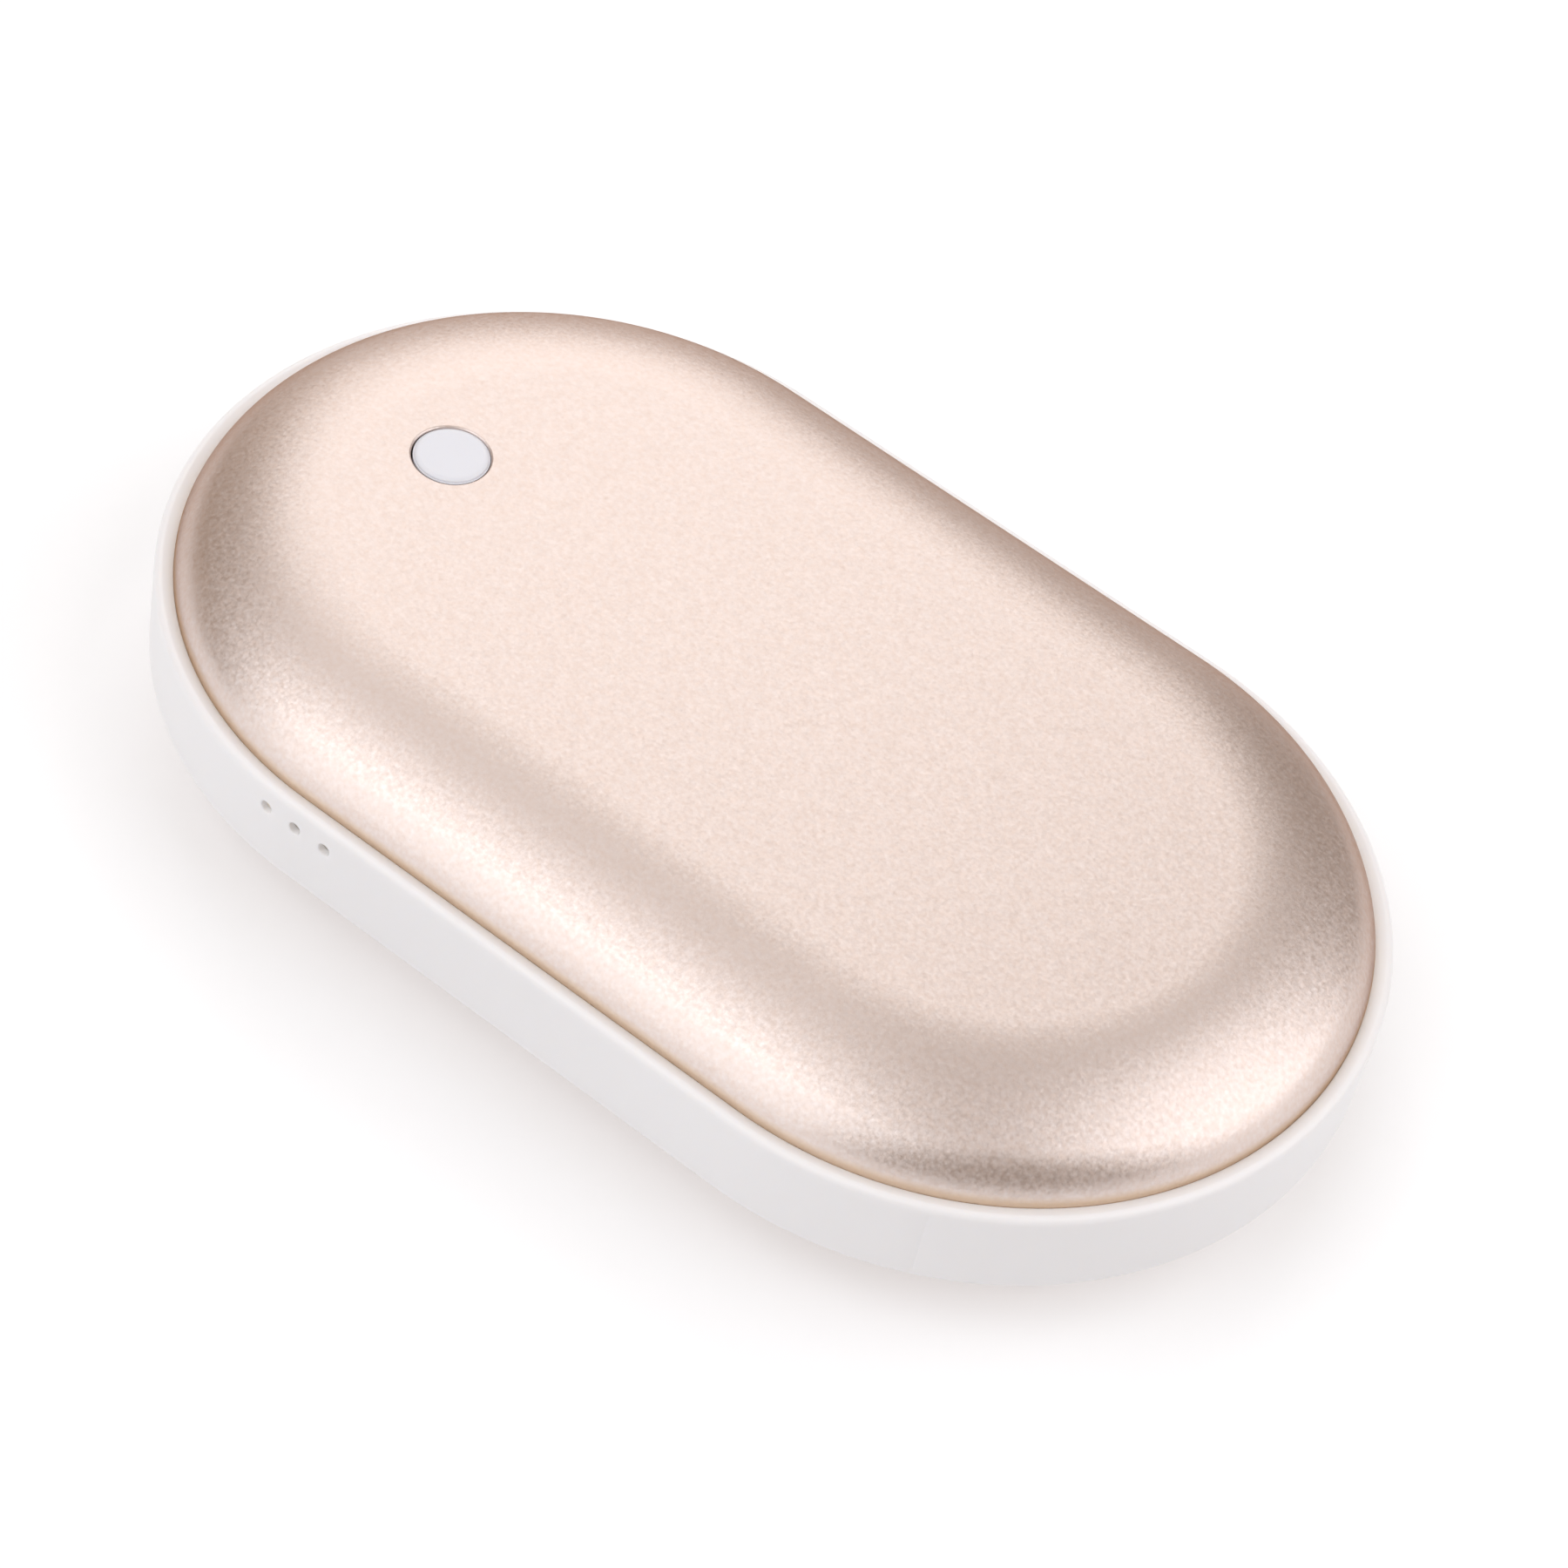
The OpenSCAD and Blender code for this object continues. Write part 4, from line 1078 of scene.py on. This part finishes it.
ceramic = speckled(
    "capacitor_ceramic", (0.3, 0.2, 0.1), (0.38, 0.27, 0.15), waves=2500, rough=0.5
)
zinc = speckled(
    "zinc_plated_screw", (0.42, 0.42, 0.44), (0.52, 0.52, 0.54),
    waves=1500, rough=0.35, metal=1.0, depth=0.003 * MM,
)
red = speckled("lead_red_silicone", (0.42, 0.02, 0.02), (0.5, 0.03, 0.03), waves=1500, rough=0.5)
white_lead = speckled(
    "lead_white_silicone", (0.68, 0.68, 0.66), (0.75, 0.75, 0.73), waves=1500, rough=0.5
)

NODE_FINISHES = {
    "mid_frame": band_white,
    "top_shell": champagne, "bottom_shell": champagne,
    "top_bracket": bracket, "bottom_bracket": bracket,
    "top_adhesive": bonding, "bottom_adhesive": bonding,
    "top_heater": film, "bottom_heater": film,
    "heat_sensor": black,
    "battery_cell": foil, "battery_board": board_green,
    "top_foam_pad": foam, "bottom_foam_pad": foam,
    "circuit_board": board_green,
    "indicator_lights": lamp, "light_guide": guide_grey,
    "button_cap": button_white,
    "switch_body": black, "switch_cover": plated, "switch_plunger": ivory,
    "usb_a_shell": plated, "usb_a_tongue": tongue_white, "usb_a_contacts": gold,
    "micro_usb_shell": plated, "micro_usb_tongue": black,
    "charge_chip": black, "boost_chip": black,
    "power_coil": ferrite, "board_capacitors": ceramic,
    "case_screws": zinc, "board_screws": zinc,
    "battery_leads": red, "top_heater_leads": white_lead, "bottom_heater_leads": white_lead,
}
for node_name, finish in NODE_FINISHES.items():
    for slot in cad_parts[node_name].material_slots:
        slot.material = finish


# The pieces made here, each with the CAD node that it replaces

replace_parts(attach(band(band_white), "base"), "mid_frame")

top_piece = shell("top_shell_pressing", champagne, lower=False)
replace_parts(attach(top_piece, "base"), "top_shell")

bottom_piece = shell("bottom_shell_pressing", champagne, lower=True)
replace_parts(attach(bottom_piece, "base"), "bottom_shell")

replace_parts(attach(output_socket(plated), "base"), "usb_a_shell")
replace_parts(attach(charging_inlet(plated), "base"), "micro_usb_shell")

button_piece = button(button_white)
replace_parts(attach(button_piece, "button"), "button_cap")


# The stage: floor, lamps and camera

FLOOR_HALF = 6.0
FLOOR_COLOUR = (0.785, 0.80, 0.82, 1)
# The floor's glow near the object and far from it, and the distances between which it grows
GLOW_NEAR, GLOW_FAR = 0.30, 0.95
GLOW_FROM, GLOW_TO = 0.8, 2.2

# The warm light from all round
FILL_COLOUR = (1.02, 0.80, 0.64, 1)
FILL_STRENGTH = 0.275

# Soft boxes at this distance: azimuth and elevation in degrees, half width and half height as
# shares of the distance, brightness and colour
LAMP_DISTANCE = 2.0
LAMPS = {
    "front_box": (249.5, 38, 0.63, 0.68, 1.16, (0.96, 1.0, 1.045)),
    "end_box": (28, 38, 0.55, 0.62, 1.36, (0.985, 1.005, 1.04)),
    "back_box": (127, 34, 0.38, 0.46, 1.32, (0.985, 0.99, 1.0)),
    "warm_fill": (172, 14, 0.5, 0.2, 0.10, (1.0, 0.6, 0.3)),
    "top_box": (206, 68, 0.43, 0.40, 0.58, (1.0, 1.0, 1.02)),
}

# The photograph's camera: angles in radians, the point it looks at, its distance from there, and
# its focal length in pixels of the photograph
VIEW_AZIMUTH, VIEW_ELEVATION, VIEW_ROLL = 0.484, 0.835, 0.232
VIEW_TARGET = Vector((4.189, -3.557, 14.0)) * MM
VIEW_DISTANCE = 0.337473
FOCAL_PIXELS = 5086.8
PHOTO_PIXELS = 1800
SENSOR_W = 36
CLIP_NEAR, CLIP_FAR = 0.01, 50


def floor():
    """A large pale square that reads as white and keeps the object's soft shadow.

    Its glow grows evenly with the distance from the middle. Only camera, glossy and transmission
    rays see it, so it throws no light on the object's matt surfaces.
    """
    mesh = bpy.data.meshes.new("studio_floor")
    corners = [(x, y, 0) for x, y in rectangle(FLOOR_HALF, FLOOR_HALF)]
    mesh.from_pydata(corners, [], [(0, 1, 2, 3)])
    made = bpy.data.objects.new("studio_floor", mesh)
    bpy.context.scene.collection.objects.link(made)

    nodes = Nodes("floor_white")
    nodes.tree.nodes.clear()
    matt = nodes.node("ShaderNodeBsdfDiffuse")
    matt.inputs["Color"].default_value = FLOOR_COLOUR
    glow = nodes.node("ShaderNodeEmission")
    reach = nodes.node("ShaderNodeVectorMath", operation="LENGTH")
    nodes.link(nodes.node("ShaderNodeTexCoord").outputs["Object"], reach.inputs[0])
    strength = nodes.ramp(reach.outputs["Value"], GLOW_FROM, GLOW_TO, GLOW_NEAR, GLOW_FAR)
    nodes.link(strength, glow.inputs["Strength"])
    both = nodes.node("ShaderNodeAddShader")
    nodes.link(matt.outputs[0], both.inputs[0])
    nodes.link(glow.outputs[0], both.inputs[1])

    rays = nodes.node("ShaderNodeLightPath").outputs
    seen = nodes.math("MAXIMUM", rays["Is Camera Ray"], rays["Is Glossy Ray"])
    seen = nodes.math("MAXIMUM", seen, rays["Is Transmission Ray"])
    mix = nodes.node("ShaderNodeMixShader")
    nodes.link(seen, mix.inputs["Fac"])
    nodes.link(matt.outputs[0], mix.inputs[1])
    nodes.link(both.outputs[0], mix.inputs[2])
    out = nodes.node("ShaderNodeOutputMaterial")
    nodes.link(mix.outputs[0], out.inputs["Surface"])
    mesh.materials.append(nodes.material)


def surroundings():
    """A weak warm light from all round."""
    world = bpy.data.worlds.new("studio")
    world.use_nodes = True
    fill = world.node_tree.nodes["Background"]
    fill.inputs["Color"].default_value = FILL_COLOUR
    fill.inputs["Strength"].default_value = FILL_STRENGTH
    bpy.context.scene.world = world


def soft_box(name, azimuth, elevation, half_w, half_h, radiance, colour):
    """A rectangular soft light that faces the object.

    Its power is its radiance times pi times its area, so it looks as bright at any size.
    """
    light = bpy.data.lights.new(name, "AREA")
    light.shape = "RECTANGLE"
    light.color = colour
    light.size, light.size_y = 2 * half_w * LAMP_DISTANCE, 2 * half_h * LAMP_DISTANCE
    light.energy = radiance * math.pi * light.size * light.size_y
    made = bpy.data.objects.new(name, light)
    bpy.context.scene.collection.objects.link(made)
    a, e = math.radians(azimuth), math.radians(elevation)
    out = Vector((math.cos(e) * math.cos(a), math.cos(e) * math.sin(a), math.sin(e)))
    made.location = out * LAMP_DISTANCE
    made.rotation_mode = "QUATERNION"
    made.rotation_quaternion = out.to_track_quat("Z", "Y")
    made.visible_camera = False


def photo_camera():
    """A camera with the photograph's view, turned about its own line of sight by its roll."""
    flat = math.cos(VIEW_ELEVATION)
    back = Vector(
        (math.sin(VIEW_AZIMUTH) * flat, -math.cos(VIEW_AZIMUTH) * flat, math.sin(VIEW_ELEVATION))
    )
    level = Vector((math.cos(VIEW_AZIMUTH), math.sin(VIEW_AZIMUTH), 0))
    rise = back.cross(level)
    right = math.cos(VIEW_ROLL) * level + math.sin(VIEW_ROLL) * rise
    up = -math.sin(VIEW_ROLL) * level + math.cos(VIEW_ROLL) * rise
    data = bpy.data.cameras.new("camera")
    data.sensor_width = SENSOR_W
    data.lens = FOCAL_PIXELS / PHOTO_PIXELS * SENSOR_W
    data.clip_start, data.clip_end = CLIP_NEAR, CLIP_FAR
    made = bpy.data.objects.new("camera", data)
    bpy.context.scene.collection.objects.link(made)
    axes = Matrix((right, up, back)).transposed().to_4x4()
    made.matrix_world = Matrix.Translation(VIEW_TARGET + back * VIEW_DISTANCE) @ axes
    return made


floor()
surroundings()
for lamp_name, settings in LAMPS.items():
    soft_box(lamp_name, *settings)
bpy.context.scene.camera = photo_camera()
bpy.context.scene.view_settings.view_transform = "Standard"
